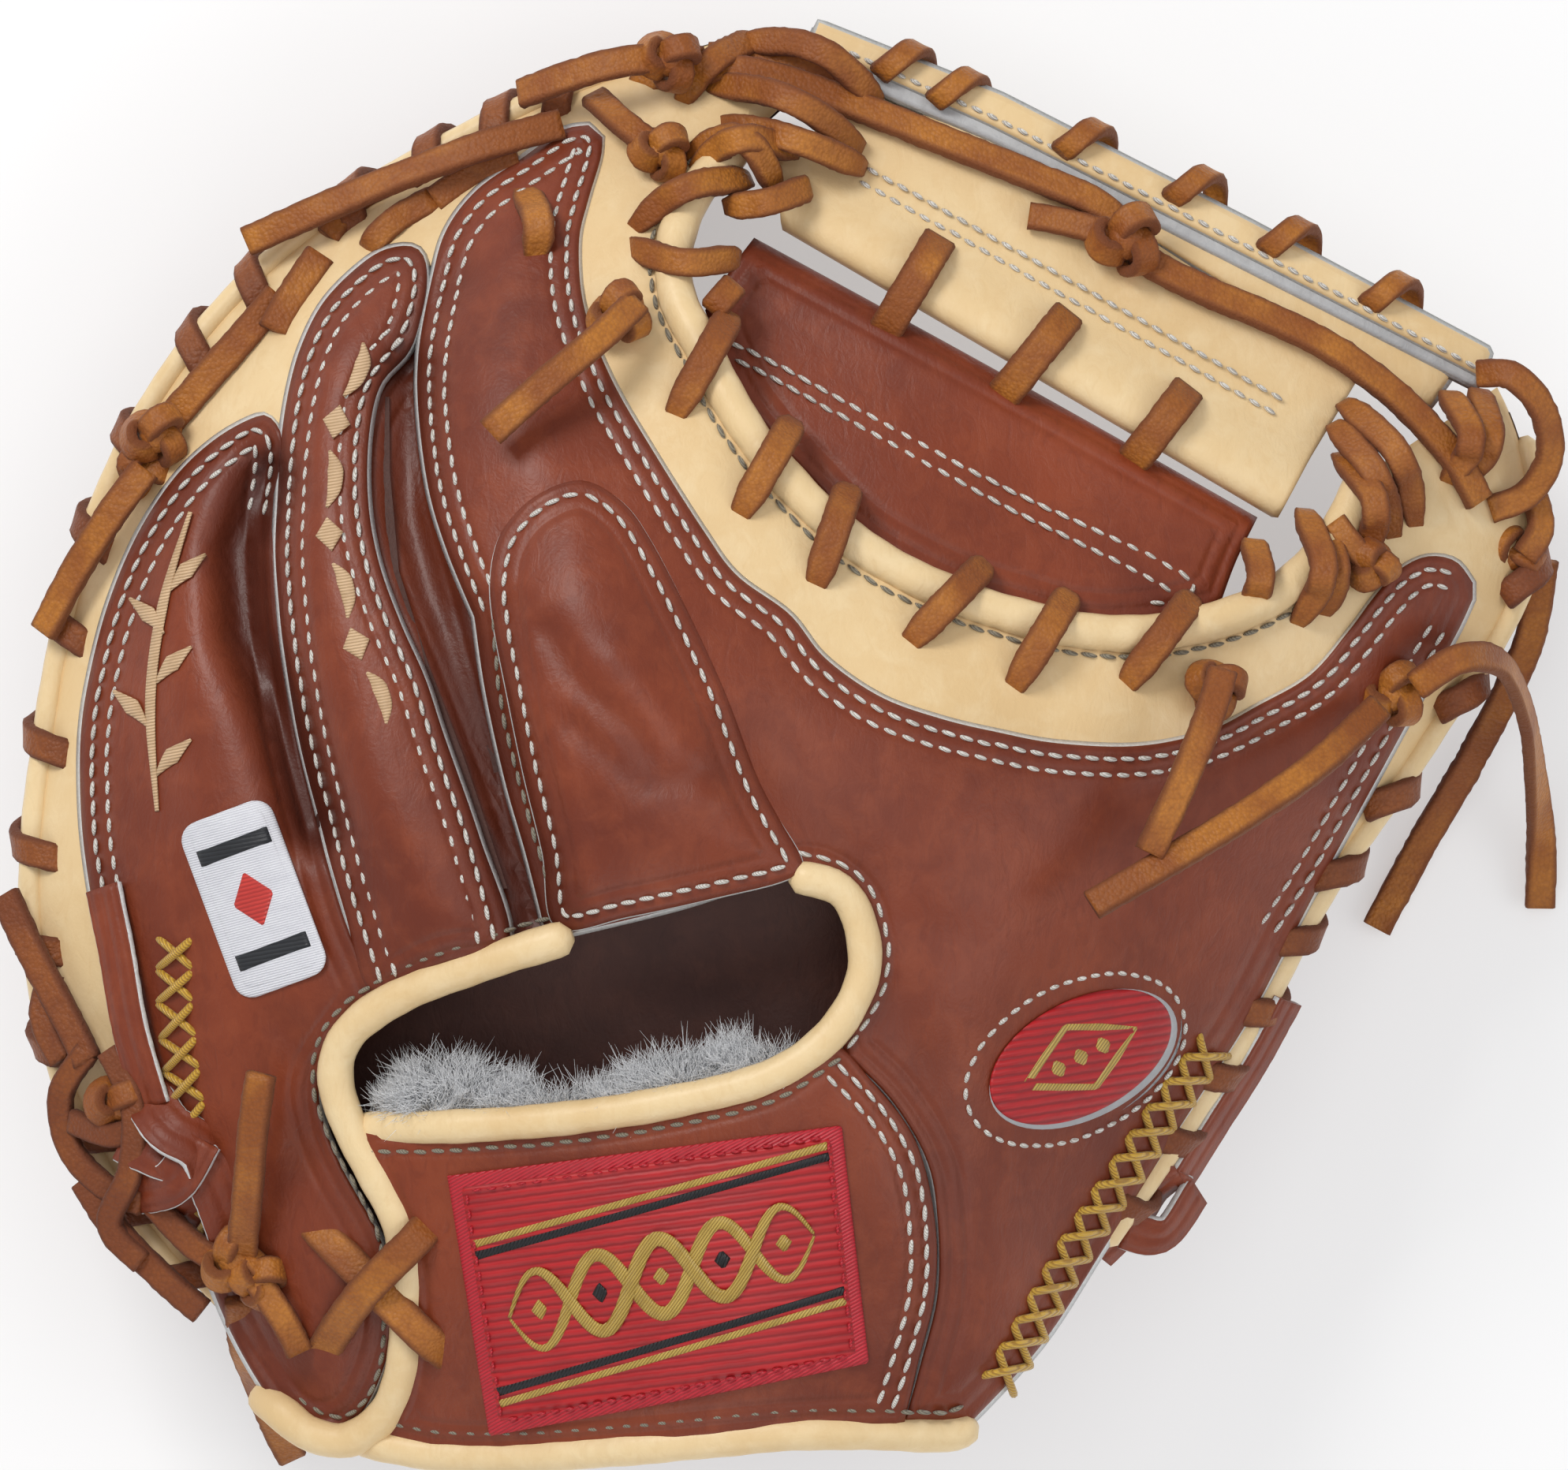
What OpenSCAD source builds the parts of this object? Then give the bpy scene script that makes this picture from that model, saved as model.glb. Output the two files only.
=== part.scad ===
// Baseball catcher's mitt, lying palm down: fingers to the left, thumb to the right, web at the top right.
// The mitt closes about one hinge that runs from the heel up through the middle of the web.

/* [Body] */
// Highest point of the back of the hand above the surface
dome_h = 104; // [98:1:108]
// Height of the pocket's leather above the surface
pocket_h = 54; // [48:1:58]
// Extra depth of the pocket beside the web
pocket_web_h = 8; // [4:1:10]
// Drop of the back towards the web
web_drop = 28; // [20:1:32]
/* [Leather] */
// Thickness of the shell leather
leather = 2.4; // [2:0.1:2.8]
// Thickness of the palm leather
palm_leather = 3; // [2.4:0.1:3.4]
// Diameter of the rolled welting round the openings
welt_d = 6.6; // [5.6:0.2:7.2]
/* [Laces] */
// Width of a lace
lace_w = 5.6; // [4.8:0.2:6.2]
// Thickness of a lace
lace_t = 2.6; // [2.2:0.2:3]
// Distance between the lace loops on the rim
loop_pitch = 19; // [17:1:24]

/* [Hidden] */

brown = [0.45, 0.17, 0.09];
cream = [0.93, 0.82, 0.6];
lace_tan = [0.62, 0.33, 0.1];
felt = [0.85, 0.84, 0.8];

// Rim radius every 15 degrees from the thumb side, counterclockwise
RIM_R = [119, 143, 146, 131, 125, 126, 130, 126, 125, 128, 131, 133, 136, 143, 148, 149, 149, 137, 132, 131,
    112, 103, 101, 104];
// Rim heights every 30 degrees: the back's edge, and the palm's edge, which parts from it at the wrist
RIM_BACK_Z = [46, 45, 42, 46, 46, 46, 47, 50, 62, 88, 62, 48];
RIM_PALM_Z = [44, 43, 40, 44, 44, 44, 45, 47, 52, 42, 57, 46];
WEB_CENTRE = [55, 75];
ring_t = 0.15;      // the palm's lowest ring, as a share of the way in from the rim
pocket_t = 0.72;    // where the pocket reaches its depth
centring = [0, 2.9, 0];
hinge_foot = [27, -127.3];
hinge_slope = 0.1203;
hinge_z = 44;
hinge_gap = 0.6;
fs_close = 32;      // facets on round exact parts

function lerp(a, b, t) = a + (b - a) * t;
function clamp(x) = min(max(x, 0), 1);
function smooth(x) = let(c = clamp(x)) c * c * (3 - 2 * c);
function unit(v) = v / norm(v);
function cubic(a, b, c, d, t) =
    0.5 * (2 * b + (c - a) * t + (2 * a - 5 * b + 4 * c - d) * t * t + (3 * b - a - 3 * c + d) * t * t * t);
// Value at an angle of a list given at equal angles
function round_value(list, angle) =
    let(n = len(list), f = ((angle % 360) + 360) % 360 * n / 360, i = floor(f))
    cubic(list[(i - 1 + n) % n], list[i % n], list[(i + 1) % n], list[(i + 2) % n], f - i);
// Point at share t of a smooth curve through the given points
function along(pts, t) =
    let(n = len(pts) - 1, f = clamp(t) * n, i = min(floor(f), n - 1))
    cubic(pts[max(i - 1, 0)], pts[i], pts[i + 1], pts[min(i + 2, n)], f - i);
function angle_of(p) = atan2(p[1], p[0]);
function rim_point(angle, out = 0) = (round_value(RIM_R, angle) + out) * [cos(angle), sin(angle)];
function inward(p) = max(1 - norm(p) / round_value(RIM_R, angle_of(p)), 0);
function hinge_x(y) = hinge_foot[0] + hinge_slope * (y - hinge_foot[1]);

// Height of the back of the shell, and of the palm leather's outer face
function top_z(p) = dome_h - web_drop * smooth(1 - norm(p - WEB_CENTRE) / 115);
function back_z(p) =
    let(edge = round_value(RIM_BACK_Z, angle_of(p)))
    edge + (top_z(p) - edge) * (1 - pow(1 - inward(p), 2.2));
function pocket_z(p) = pocket_h + pocket_web_h * smooth(1 - norm(p - WEB_CENTRE) / 95);
function palm_z(p) =
    let(t = inward(p), k = 1 - clamp(t / ring_t))
    round_value(RIM_PALM_Z, angle_of(p)) * (1 - sqrt(1 - k * k))
    + pocket_z(p) * smooth((t - ring_t) / (pocket_t - ring_t));
// Height of the web, which slopes down from the crotch to its top edge
web_along = [0.894, -0.447];
web_up = [0.447, 0.894];
function web_z(p) = 76 - 31 * (p * web_up - 41) / 82 - 5 * pow((p - WEB_CENTRE) * web_along / 60, 2);

// Closed solid between two grids of points with the same rows and columns, in either order
module between(low, high) {
    i = floor(len(low) / 2);
    j = floor(len(low[0]) / 2);
    facing = cross(low[i][j] - low[i - 1][j], low[i][j] - low[i][j - 1]) * (high[i][j] - low[i][j]);
    if (facing > 0) layered(high, low); else layered(low, high);
}
module layered(low, high) {
    rows = len(low);
    cols = len(low[0]);
    n = rows * cols;
    points = [for (g = [low, high]) for (row = g) for (p = row) p];
    quads = concat(
        [for (i = [0:rows - 2]) for (j = [0:cols - 2])
            let(a = i * cols + j) [a, a + 1, a + cols + 1, a + cols]],
        [for (i = [0:rows - 2]) for (j = [0:cols - 2])
            let(a = n + i * cols + j) [a, a + cols, a + cols + 1, a + 1]],
        [for (i = [0:rows - 2]) let(a = i * cols) [a, a + cols, a + cols + n, a + n]],
        [for (i = [0:rows - 2]) let(a = i * cols + cols - 1) [a, a + n, a + cols + n, a + cols]],
        [for (j = [0:cols - 2]) [j, j + n, j + 1 + n, j + 1]],
        [for (j = [0:cols - 2]) let(a = n - cols + j) [a, a + 1, a + 1 + n, a + n]]);
    placed() polyhedron(points, [for (q = quads) each [[q[0], q[1], q[2]], [q[0], q[2], q[3]]]]);
}
// Sheet of leather between a left and a right edge, from low to high above the back surface
module back_sheet(left, right, rows, cols, low, high) {
    flat = [for (i = [0:rows]) [for (j = [0:cols]) lerp(along(left, i / rows), along(right, i / rows), j / cols)]];
    between([for (row = flat) [for (p = row) [p[0], p[1], back_z(p) + low]]],
            [for (row = flat) [for (p = row) [p[0], p[1], back_z(p) + high]]]);
}
// The same on the web's own surface
module web_sheet(left, right, rows, cols, low, high) {
    flat = [for (i = [0:rows]) [for (j = [0:cols]) lerp(along(left, i / rows), along(right, i / rows), j / cols)]];
    between([for (row = flat) [for (p = row) [p[0], p[1], web_z(p) + low]]],
            [for (row = flat) [for (p = row) [p[0], p[1], web_z(p) + high]]]);
}
// Tube with a flattened round section along points in space; flat is its thickness over its width
module tube(path, width, flat = 1, sides = 8) {
    n = len(path) - 1;
    rings = [for (i = [0:n])
        let(t = unit(path[min(i + 1, n)] - path[max(i - 1, 0)]),
            side = unit(cross(t, abs(t[2]) > 0.9 ? [0, 1, 0] : [0, 0, 1])),
            up = cross(side, t))
        [for (k = [0:sides - 1]) let(a = 360 * (k + 0.5) / sides)
            path[i] + side * cos(a) * width / 2 + up * sin(a) * width * flat / 2]];
    points = [for (r = rings) for (p = r) p];
    walls = [for (i = [0:n - 1]) for (k = [0:sides - 1])
        let(a = i * sides + k, b = i * sides + (k + 1) % sides)
        each [[a, b + sides, a + sides], [a, b, b + sides]]];
    caps = [[for (k = [0:sides - 1]) sides - 1 - k], [for (k = [0:sides - 1]) n * sides + k]];
    placed() polyhedron(points, concat(walls, caps));
}
// Flat band bent over an ellipse in the plane of out and up, from angle a0 to a1
module band(centre, out, up, a, b, a0, a1, steps = 5, shift = [0, 0, 0]) {
    side = unit(cross(out, up)) * lace_w / 2;
    rings = [for (i = [0:steps])
        let(s = lerp(a0, a1, i / steps), r = unit(out * cos(s) / a + up * sin(s) / b) * lace_t / 2,
            c = centre + out * a * cos(s) + up * b * sin(s) + shift * (i / steps - 0.5))
        [c - side - r, c + side - r, c + side + r, c - side + r]];
    points = [for (r = rings) for (p = r) p];
    placed() polyhedron(points, concat(
        [for (i = [0:steps - 1]) for (k = [0:3]) let(p = 4 * i + k, q = 4 * i + (k + 1) % 4)
            each [[p, q, q + 4], [p, q + 4, p + 4]]],
        [[0, 3, 2, 1], [4 * steps, 4 * steps + 1, 4 * steps + 2, 4 * steps + 3]]));
}
// Lace arched from one point to another over the welt
module arch(from, to, rise) {
    d = to - from;
    centre = (from + to) / 2;
    band(centre, unit(d), [0, 0, 1], norm(d) / 2, rise, 180, 0, 6);
}
module knot(p, r = 5) { placed() translate(p) sphere(r = r, $fn = fs_close); }

// A curve laid on the back, raised by lift
function on_back(pts, steps, lift) =
    [for (i = [0:steps]) let(p = along(pts, i / steps)) [p[0], p[1], back_z(p) + lift]];
function lift_point(p, lift) = [p[0], p[1], back_z(p) + lift];

// The whole mitt is moved so that its foot's centre is the origin
module placed() { translate(centring) children(); }

/* ---- palm ---- */
PALM_ROW = [0, 0.012, 0.04, 0.09, 0.16, 0.26, 0.4, 0.55, 0.7, 0.82, 0.9, 0.96, 1];
crotch_wall = 13;
// Palm leather's outer face on the line from a rim point to an inner point; lifted is 1 where the inner end climbs to the back
function palm_row(outer, inner, lifted) =
    let(span = norm(inner - outer))
    [for (f = PALM_ROW)
        let(p = lerp(outer, inner, f), q = clamp((f * span - span + crotch_wall) / crotch_wall), z = palm_z(p))
        [p[0], p[1], z + lifted * (back_z(p) - 6 - z) * (1 - sqrt(1 - q * q * 0.999))]];
function grid_normal(g, i, j) =
    let(n = len(g) - 1, m = len(g[0]) - 1)
    unit(cross(g[min(i + 1, n)][j] - g[max(i - 1, 0)][j], g[i][min(j + 1, m)] - g[i][max(j - 1, 0)]));
module palm_sheet(rows, side) {
    inner = [for (i = [0:len(rows) - 1]) [for (j = [0:len(rows[0]) - 1])
        let(s = side * grid_normal(rows, i, j)) rows[i][j] + s * palm_leather]];
    between(rows, inner);
}
// The crotch's edge: down the index finger, round the bottom and up the thumb
CROTCH = [[-8, 108.5], [-16, 100], [-20, 90], [-19.5, 80], [-15, 71], [-10, 61], [-4, 52], [4.5, 42.5], [13, 35],
    [22, 29.5], [32, 25], [43, 21.5], [54.5, 19], [66, 18.5], [77.5, 20.5], [87, 24], [94.5, 29], [100, 35],
    [104, 41.5], [107, 48]];
hinge_on_crotch = 0.582;
function finger_crotch(t) = along(CROTCH, lerp(hinge_on_crotch - 0.004, 0.02, t));
function thumb_crotch(t) = along(CROTCH, lerp(hinge_on_crotch + 0.014, 0.985, t));
// The palm's edge beside the hinge stands back below the axis, so the halves can close without meeting
function hinge_side(y, side) =
    [hinge_x(y) + side * (hinge_gap + 0.05 * max(y + 8, 0) + 0.24 * max(hinge_z - palm_z([hinge_x(y), y]), 0)), y];
finger_rows = [for (i = [0:26]) let(u = i / 26, a = lerp(-86, -276, pow(u, 1.05)))
    i < 9 ? palm_row(rim_point(a), hinge_side(lerp(-60, 16, i / 9), -1), 0)
          : palm_row(rim_point(a), finger_crotch((i - 9) / 17), 1)];
thumb_rows = [for (i = [0:18]) let(u = i / 18, a = lerp(-71, 26, u))
    i < 7 ? palm_row(rim_point(a), hinge_side(lerp(-60, 16, i / 7), 1), 0)
          : palm_row(rim_point(a), thumb_crotch((i - 7) / 11), 1)];
module palm_leather_finger_side() { color(brown) palm_sheet(finger_rows, -1); }
module palm_leather_thumb_side() { color(brown) palm_sheet(thumb_rows, 1); }

// Felt pad over the palm leather between two shares of the way in
module pad(angles, near, far, top) {
    flat = [for (a = angles) [for (s = [0:5]) rim_point(a) * (1 - lerp(near, far, s / 5))]];
    between([for (row = flat) [for (p = row) [p[0], p[1], palm_z(p) + 6]]],
            [for (row = flat) [for (p = row) [p[0], p[1], max(min(top, back_z(p) - 8), palm_z(p) + 8)]]]);
}
module finger_pad() { color(felt) pad([for (i = [0:15]) lerp(225, 118, i / 15)], 0.12, 0.5, 48); }
module heel_pad() { color(felt) pad([for (i = [0:6]) lerp(262, 229, i / 6)], 0.12, 0.45, 46); }
module thumb_pad() { color(felt) pad([for (i = [0:10]) lerp(-48, 0, i / 10)], 0.14, 0.36, 46); }

function lining_z(p) = max(50, palm_z(p) + 9.5);
module hand_lining() {
    color([0.25, 0.1, 0.06]) {
        left = [[-64, -112], [-74, -85], [-84, -50], [-92, -10], [-88, 30], [-66, 68]];
        right = [[22, -112], [27, -85], [32, -50], [30, -14], [-5, 22], [-34, 72]];
        flat = [for (i = [0:10]) [for (j = [0:8]) lerp(along(left, i / 10), along(right, i / 10), j / 8)]];
        between([for (row = flat) [for (p = row) [p[0], p[1], lining_z(p)]]],
                [for (row = flat) [for (p = row) [p[0], p[1], lining_z(p) + 1.6]]]);
    }
}
module divider(pts) {
    flat = [for (i = [0:6]) along(pts, i / 6)];
    low = [for (k = [0, 1]) [for (p = flat) let(q = p + [k * 1.6, 0]) [q[0], q[1], lining_z(q) + 2.4]]];
    high = [for (k = [0, 1]) [for (p = flat) let(q = p + [k * 1.6, 0]) [q[0], q[1], back_z(q) - 3.2]]];
    between(low, high);
}
module finger_dividers() {
    color([0.3, 0.12, 0.07]) {
        divider([[-92, 44], [-90, 20], [-84, -10], [-77, -38]]);
        divider([[-74, 62], [-72, 30], [-60, -4], [-52, -28]]);
        divider([[-54, 62], [-50, 36], [-40, 4], [-30, -22]]);
    }
}
module wrist_fleece() {
    color([0.72, 0.73, 0.75])
        back_sheet([[-75, -72], [-71, -98], [-73, -126]], [[8, -58], [24, -90], [19, -122]], 5, 6, -9, -0.4);
}

/* ---- back of the hand ---- */
LITTLE_LEFT = [[-98, 58.5], [-106, 53], [-113, 46], [-119, 37], [-124.5, 24], [-128, 10.5], [-129.5, 0],
    [-129.5, -12], [-128, -25], [-113, -38], [-111, -52], [-110, -66], [-107, -80], [-104.5, -93], [-102, -104],
    [-98, -115], [-93, -124]];
LITTLE_RIGHT = [[-94.5, 58.5], [-92.5, 53], [-93.5, 45], [-94.5, 36], [-94, 24], [-92.5, 12], [-90.5, 0],
    [-88, -11], [-84.5, -23], [-80.5, -37], [-77, -48], [-84, -60], [-82.5, -74], [-75, -88], [-71.5, -103],
    [-72.5, -115], [-82, -126]];
HEEL_SIDE_LEFT = [[-128.5, -37], [-121, -58], [-111, -82], [-103, -104]];
HEEL_SIDE_RIGHT = [[-115, -39], [-112.5, -58], [-108, -84], [-101.5, -106]];
RING_LEFT = [[-71, 89.5], [-77.5, 87], [-84, 80.5], [-88, 72], [-90.5, 63], [-92, 52], [-92, 42], [-92.3, 33],
    [-92, 24], [-90.5, 14], [-88, 1], [-84.5, -13], [-79, -30], [-74, -45]];
RING_RIGHT = [[-67.5, 89.5], [-65.5, 86], [-66.5, 79.5], [-68.5, 73], [-71, 67.5], [-74, 61], [-76, 54], [-76, 43],
    [-74.5, 32], [-71, 21], [-66, 10], [-61.5, -2], [-56, -17], [-50, -34]];
GUSSET_LEFT = [[-65.5, 76], [-69, 67], [-72, 61], [-74.5, 54], [-74.5, 43], [-73, 32], [-69.5, 21], [-64.5, 10],
    [-60, -2], [-54.5, -17], [-49, -33.5]];
GUSSET_RIGHT = [[-63.5, 76], [-66, 68], [-66, 60], [-65.5, 50], [-62, 40], [-57, 30], [-54.5, 19], [-52.5, 7],
    [-49.5, -5], [-46.5, -20], [-43, -33.5]];
INDEX_LEFT = [[-38, 111], [-50, 103.5], [-60, 96], [-64, 84], [-64.5, 70], [-62.5, 50], [-56, 40], [-46, 46.5],
    [-37, 48.5], [-28, 44], [-22, 35.5], [-15, 21], [-9, 7.5], [-3.5, -8], [3.5, -24], [14, -31], [17, -44],
    [12, -57], [21, -66], [27.5, -77.5], [29, -88.5], [29, -102], [26, -114.5], [23, -124.5]];
INDEX_RIGHT = [[-34, 110], [-37, 101], [-38.5, 93], [-38, 85], [-36, 76], [-32.5, 67], [-28, 59], [-22, 49],
    [-14.5, 38], [-8.5, 30], [1, 22], [7.5, 14], [17.5, 7], [29, 3], [41, -6], [38, -28], [36, -46],
    [34.5, -58], [33.2, -69], [32, -79], [31, -89], [29.7, -100], [28.4, -112], [26.4, -124.5]];
OVAL_LEFT = [[-39, 46.5], [-45, 43], [-50.5, 37.5], [-52.5, 29.5], [-51.5, 20], [-49, 7.5], [-46, -7], [-43.5, -20],
    [-41, -33]];
OVAL_RIGHT = [[-35.5, 46.5], [-31, 43], [-26.5, 38], [-21.5, 29], [-17, 20], [-11, 7.5], [-5.5, -7], [-2, -15],
    [2, -23]];
THUMB_TOP = [[43.4, -0.3], [50, -2], [64, -2.6], [77, 0.5], [87, 5.5], [96, 11], [103, 18], [109, 24], [115, 29],
    [121, 32], [126, 31]];
THUMB_EDGE = [[28.6, -124.5], [41, -117], [50, -102], [59, -86], [69, -71], [80, -55], [91, -40], [99, -26],
    [107, -13], [116, 0], [125, 16]];
STRAP_LEFT = [[-73, -75], [-70.5, -86], [-69, -98], [-69.5, -110], [-71.5, -121], [-73, -129]];
STRAP_RIGHT = [[9.5, -60.5], [19, -69], [25.5, -79], [27, -90], [26.5, -104], [21.5, -124]];

module back_little_finger() { color(brown) back_sheet(LITTLE_LEFT, LITTLE_RIGHT, 24, 4, 0.2, leather + 0.2); }
module heel_side_little_finger() { color(brown) back_sheet(HEEL_SIDE_LEFT, HEEL_SIDE_RIGHT, 6, 2, 0.2, leather); }
module back_ring_finger() { color(brown) back_sheet(RING_LEFT, RING_RIGHT, 18, 3, 0.2, leather + 0.2); }
module finger_gusset() { color(brown) back_sheet(GUSSET_LEFT, GUSSET_RIGHT, 14, 2, -1, leather - 1); }
module back_index_finger() { color(brown) back_sheet(INDEX_LEFT, INDEX_RIGHT, 34, 4, 0.2, leather + 0.2); }
module index_finger_pad() { color(brown) back_sheet(OVAL_LEFT, OVAL_RIGHT, 10, 5, 0.2, leather + 1.6); }
module back_thumb() { color(brown) back_sheet(THUMB_TOP, THUMB_EDGE, 14, 8, 0.2, leather + 0.2); }
module wrist_strap() { color(brown) back_sheet(STRAP_LEFT, STRAP_RIGHT, 8, 8, 0.2, leather + 0.2); }

CRESCENT_INNER = [[-96, -102], [-104, -84], [-110, -60], [-117, -36], [-121, -10], [-119, 12], [-110, 32],
    [-100, 46], [-86, 62], [-76, 76], [-62, 86], [-52, 94], [-40, 101], [-29, 103], [-20, 102], [-12, 104]];
module fingertip_crescent() {
    color(cream) {
        steps = 26;
        flat = [for (i = [0:steps]) let(u = i / steps, o = rim_point(lerp(225, 96, u), -1.2))
            [for (j = [0:3]) lerp(o, along(CRESCENT_INNER, u), j / 3)]];
        between([for (row = flat) [for (p = row) [p[0], p[1], back_z(p) - leather]]],
                [for (row = flat) [for (p = row) [p[0], p[1], back_z(p)]]]);
    }
}
CROTCH_TRIM_FINGER = [[-32, 97], [-33, 88], [-31, 76], [-26, 64], [-18, 50], [-9, 37], [-1, 28], [8, 18], [18, 11],
    [29, 7], [42.3, 6]];
module crotch_trim_finger_side() {
    color(cream)
        back_sheet([for (i = [0:10]) finger_crotch(1 - i / 10)], CROTCH_TRIM_FINGER, 18, 3, -leather, 0);
}
CROTCH_TRIM_THUMB = [[44.4, 6], [54, 4], [64, 3.6], [75, 6], [84, 11], [92, 17], [98, 23.5], [104, 30], [111, 36],
    [119, 40], [127, 42]];
module crotch_trim_thumb_side() {
    color(cream)
        back_sheet([for (i = [0:10]) thumb_crotch(i / 10)], CROTCH_TRIM_THUMB, 14, 3, -leather, 0);
}
module thumb_crescent() {
    color(cream) {
        inner = [[94, -33], [101, -19], [110, -6], [119, 8], [121, 22], [122, 36]];
        flat = [for (i = [0:12]) let(u = i / 12, o = rim_point(lerp(-23, 22, u), -1.2))
            [for (j = [0:2]) lerp(o, along(inner, u), j / 2)]];
        between([for (row = flat) [for (p = row) [p[0], p[1], back_z(p) - 2 * leather - 0.3]]],
                [for (row = flat) [for (p = row) [p[0], p[1], back_z(p) - leather - 0.3]]]);
    }
}

/* ---- welting ---- */
WINDOW_WELT = [[-38.5, -36], [-51.5, -40.5], [-65.5, -45.5], [-75, -50.5], [-80.5, -56], [-82, -63], [-79.5, -71.5],
    [-75, -80], [-70, -89], [-68.5, -98], [-68.5, -108], [-69.5, -117], [-73, -125], [-80, -129.5], [-87, -128.5],
    [-92.5, -124.5]];
STRAP_WELT = [[-75, -71.5], [-61, -71.5], [-41, -70], [-21.5, -67], [-3.5, -62.5], [8, -55], [14.2, -44.5],
    [14, -35], [10, -28], [2, -25.5]];
WRIST_WELT = [[-73, -131], [-63, -132.5], [-47, -132.5], [-24, -130], [1, -127.5], [17.5, -127.5], [26, -128]];
module window_welt() { color(cream) tube(on_back(WINDOW_WELT, 22, 2.6), welt_d); }
module strap_welt() { color(cream) tube(on_back(STRAP_WELT, 18, 3), welt_d); }
module wrist_welt() { color(cream) tube(on_back(WRIST_WELT, 12, 1.5), welt_d); }
module crotch_welt_finger_side() {
    color(cream) tube([for (i = [0:20]) let(p = finger_crotch(i / 20)) lift_point(p, 1)], welt_d);
}
module crotch_welt_thumb_side() {
    color(cream) tube([for (i = [0:16]) let(p = thumb_crotch(i / 16)) lift_point(p, 1)], welt_d);
}
function rim_path(a0, a1, steps) =
    [for (i = [0:steps]) let(a = lerp(a0, a1, i / steps), p = rim_point(a, 0.6)) [p[0], p[1], back_z(p) - 1]];
module rim_welt_finger_side() { color(cream) tube(rim_path(222, 98, 34), 4.4, 1, 6); }
module rim_welt_thumb_side() { color(cream) tube(rim_path(-58, 22, 18), 4.4, 1, 6); }

/* ---- laces ---- */
module rim_loop(angle) {
    p = rim_point(angle, -2.5);
    out = [cos(angle), sin(angle), 0];
    band([p[0], p[1], back_z(p) - 3.5], out, [0, 0, 1], 5.6, 6.4, 118, -105, 5, 5 * cross(out, [0, 0, 1]));
}
finger_loops = [for (a = [221:-loop_pitch * 0.44:98]) a];
thumb_loops = [for (a = [-52:loop_pitch * 0.53:20]) a];
module rim_lace_finger_side() {
    color(lace_tan) {
        for (a = finger_loops) rim_loop(a);
        knot([-116.5, 53.5, 57], 5.5);
        knot([-20, 124, 58], 5.5);
        knot([-99.5, -99, 67], 6);
    }
}
module rim_lace_thumb_side() {
    color(lace_tan) {
        for (a = thumb_loops) rim_loop(a);
        knot([112, 7, 63], 6);
        knot([133, 34, 46], 5.5);
    }
}
// Outer and inner ends of each lace over the crotch welt
FINGER_ARCHES = [[[-25, 94], [-11, 97]], [[-27, 91], [-12, 101]], [[-20.5, 57.5], [-10.5, 76]],
    [[-8.5, 39.5], [1.5, 56]], [[5.5, 26.5], [11.5, 44]], [[22, 16.5], [36, 30]]];
THUMB_ARCHES = [[[48, 10.5], [53.5, 25]], [[62, 10], [74, 24]], [[98, 21], [91, 35]], [[112, 38], [99, 45]]];
module crotch_arch(ends) { arch(lift_point(ends[0], -1), lift_point(ends[1], -2), 8.5); }
module crotch_lace_finger_side() {
    color(lace_tan) {
        for (e = FINGER_ARCHES) crotch_arch(e);
        knot(lift_point([-30, 76], 7), 5);
        knot(lift_point([-23, 107], 6), 5);
    }
}
module crotch_lace_thumb_side() {
    color(lace_tan) {
        for (e = THUMB_ARCHES) crotch_arch(e);
        knot(lift_point([79, 10], 6), 5);
    }
}

/* ---- web ---- */
// Share of the way along an edge at which it crosses the hinge
function hinge_share(a, b) =
    let(fa = a[0] - hinge_x(a[1]), fb = b[0] - hinge_x(b[1])) fa / (fa - fb);
module web_half(a, b, c, d, finger, rows, low, high) {
    s = hinge_share(a, b);
    r = hinge_share(d, c);
    gap = hinge_gap / norm(b - a);
    top = finger ? [a, lerp(a, b, s - gap)] : [lerp(a, b, s + gap), b];
    foot = finger ? [d, lerp(d, c, r - gap)] : [lerp(d, c, r + gap), c];
    web_sheet(top, foot, rows, 3, low, high);
}
LOWER_WEB_TOP_FINGER = [[-5.5, 91.5], [48.9, 61.2]];
LOWER_WEB_FOOT_FINGER = [[-13, 80], [-11, 72.5], [-6.5, 63], [-0.5, 54.5], [7.3, 45.8], [15.4, 38.6], [23.9, 33.3],
    [33.4, 29], [44.8, 25.2]];
LOWER_WEB_TOP_THUMB = [[50.3, 60.4], [87, 40]];
LOWER_WEB_FOOT_THUMB = [[46, 25], [55, 23.2], [65.8, 22.8], [75, 24.5], [79.5, 26]];
MIDDLE_WEB = [[12, 113], [104, 64.5], [90.5, 39.5], [-0.5, 93]];
TOP_WEB = [[7, 130], [130, 69], [117, 67.5], [10, 118]];
web_leather = 2 * leather;
module lower_web(top, foot, rows) { color(brown) web_sheet(top, foot, rows, 5, 0, web_leather); }
module middle_web(finger) {
    color(cream)
        web_half(MIDDLE_WEB[0], MIDDLE_WEB[1], MIDDLE_WEB[2], MIDDLE_WEB[3], finger, 5, web_leather + 0.4,
            web_leather + 3.5);
}
module top_web(finger) {
    color(cream) web_half(TOP_WEB[0], TOP_WEB[1], TOP_WEB[2], TOP_WEB[3], finger, 5, 0, web_leather + 2.6);
}
module web_lower_finger_half() { lower_web(LOWER_WEB_TOP_FINGER, LOWER_WEB_FOOT_FINGER, 14); }
module web_lower_thumb_half() { lower_web(LOWER_WEB_TOP_THUMB, LOWER_WEB_FOOT_THUMB, 9); }
module web_middle_finger_half() { middle_web(true); }
module web_middle_thumb_half() { middle_web(false); }
module web_top_finger_half() { top_web(true); }
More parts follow.
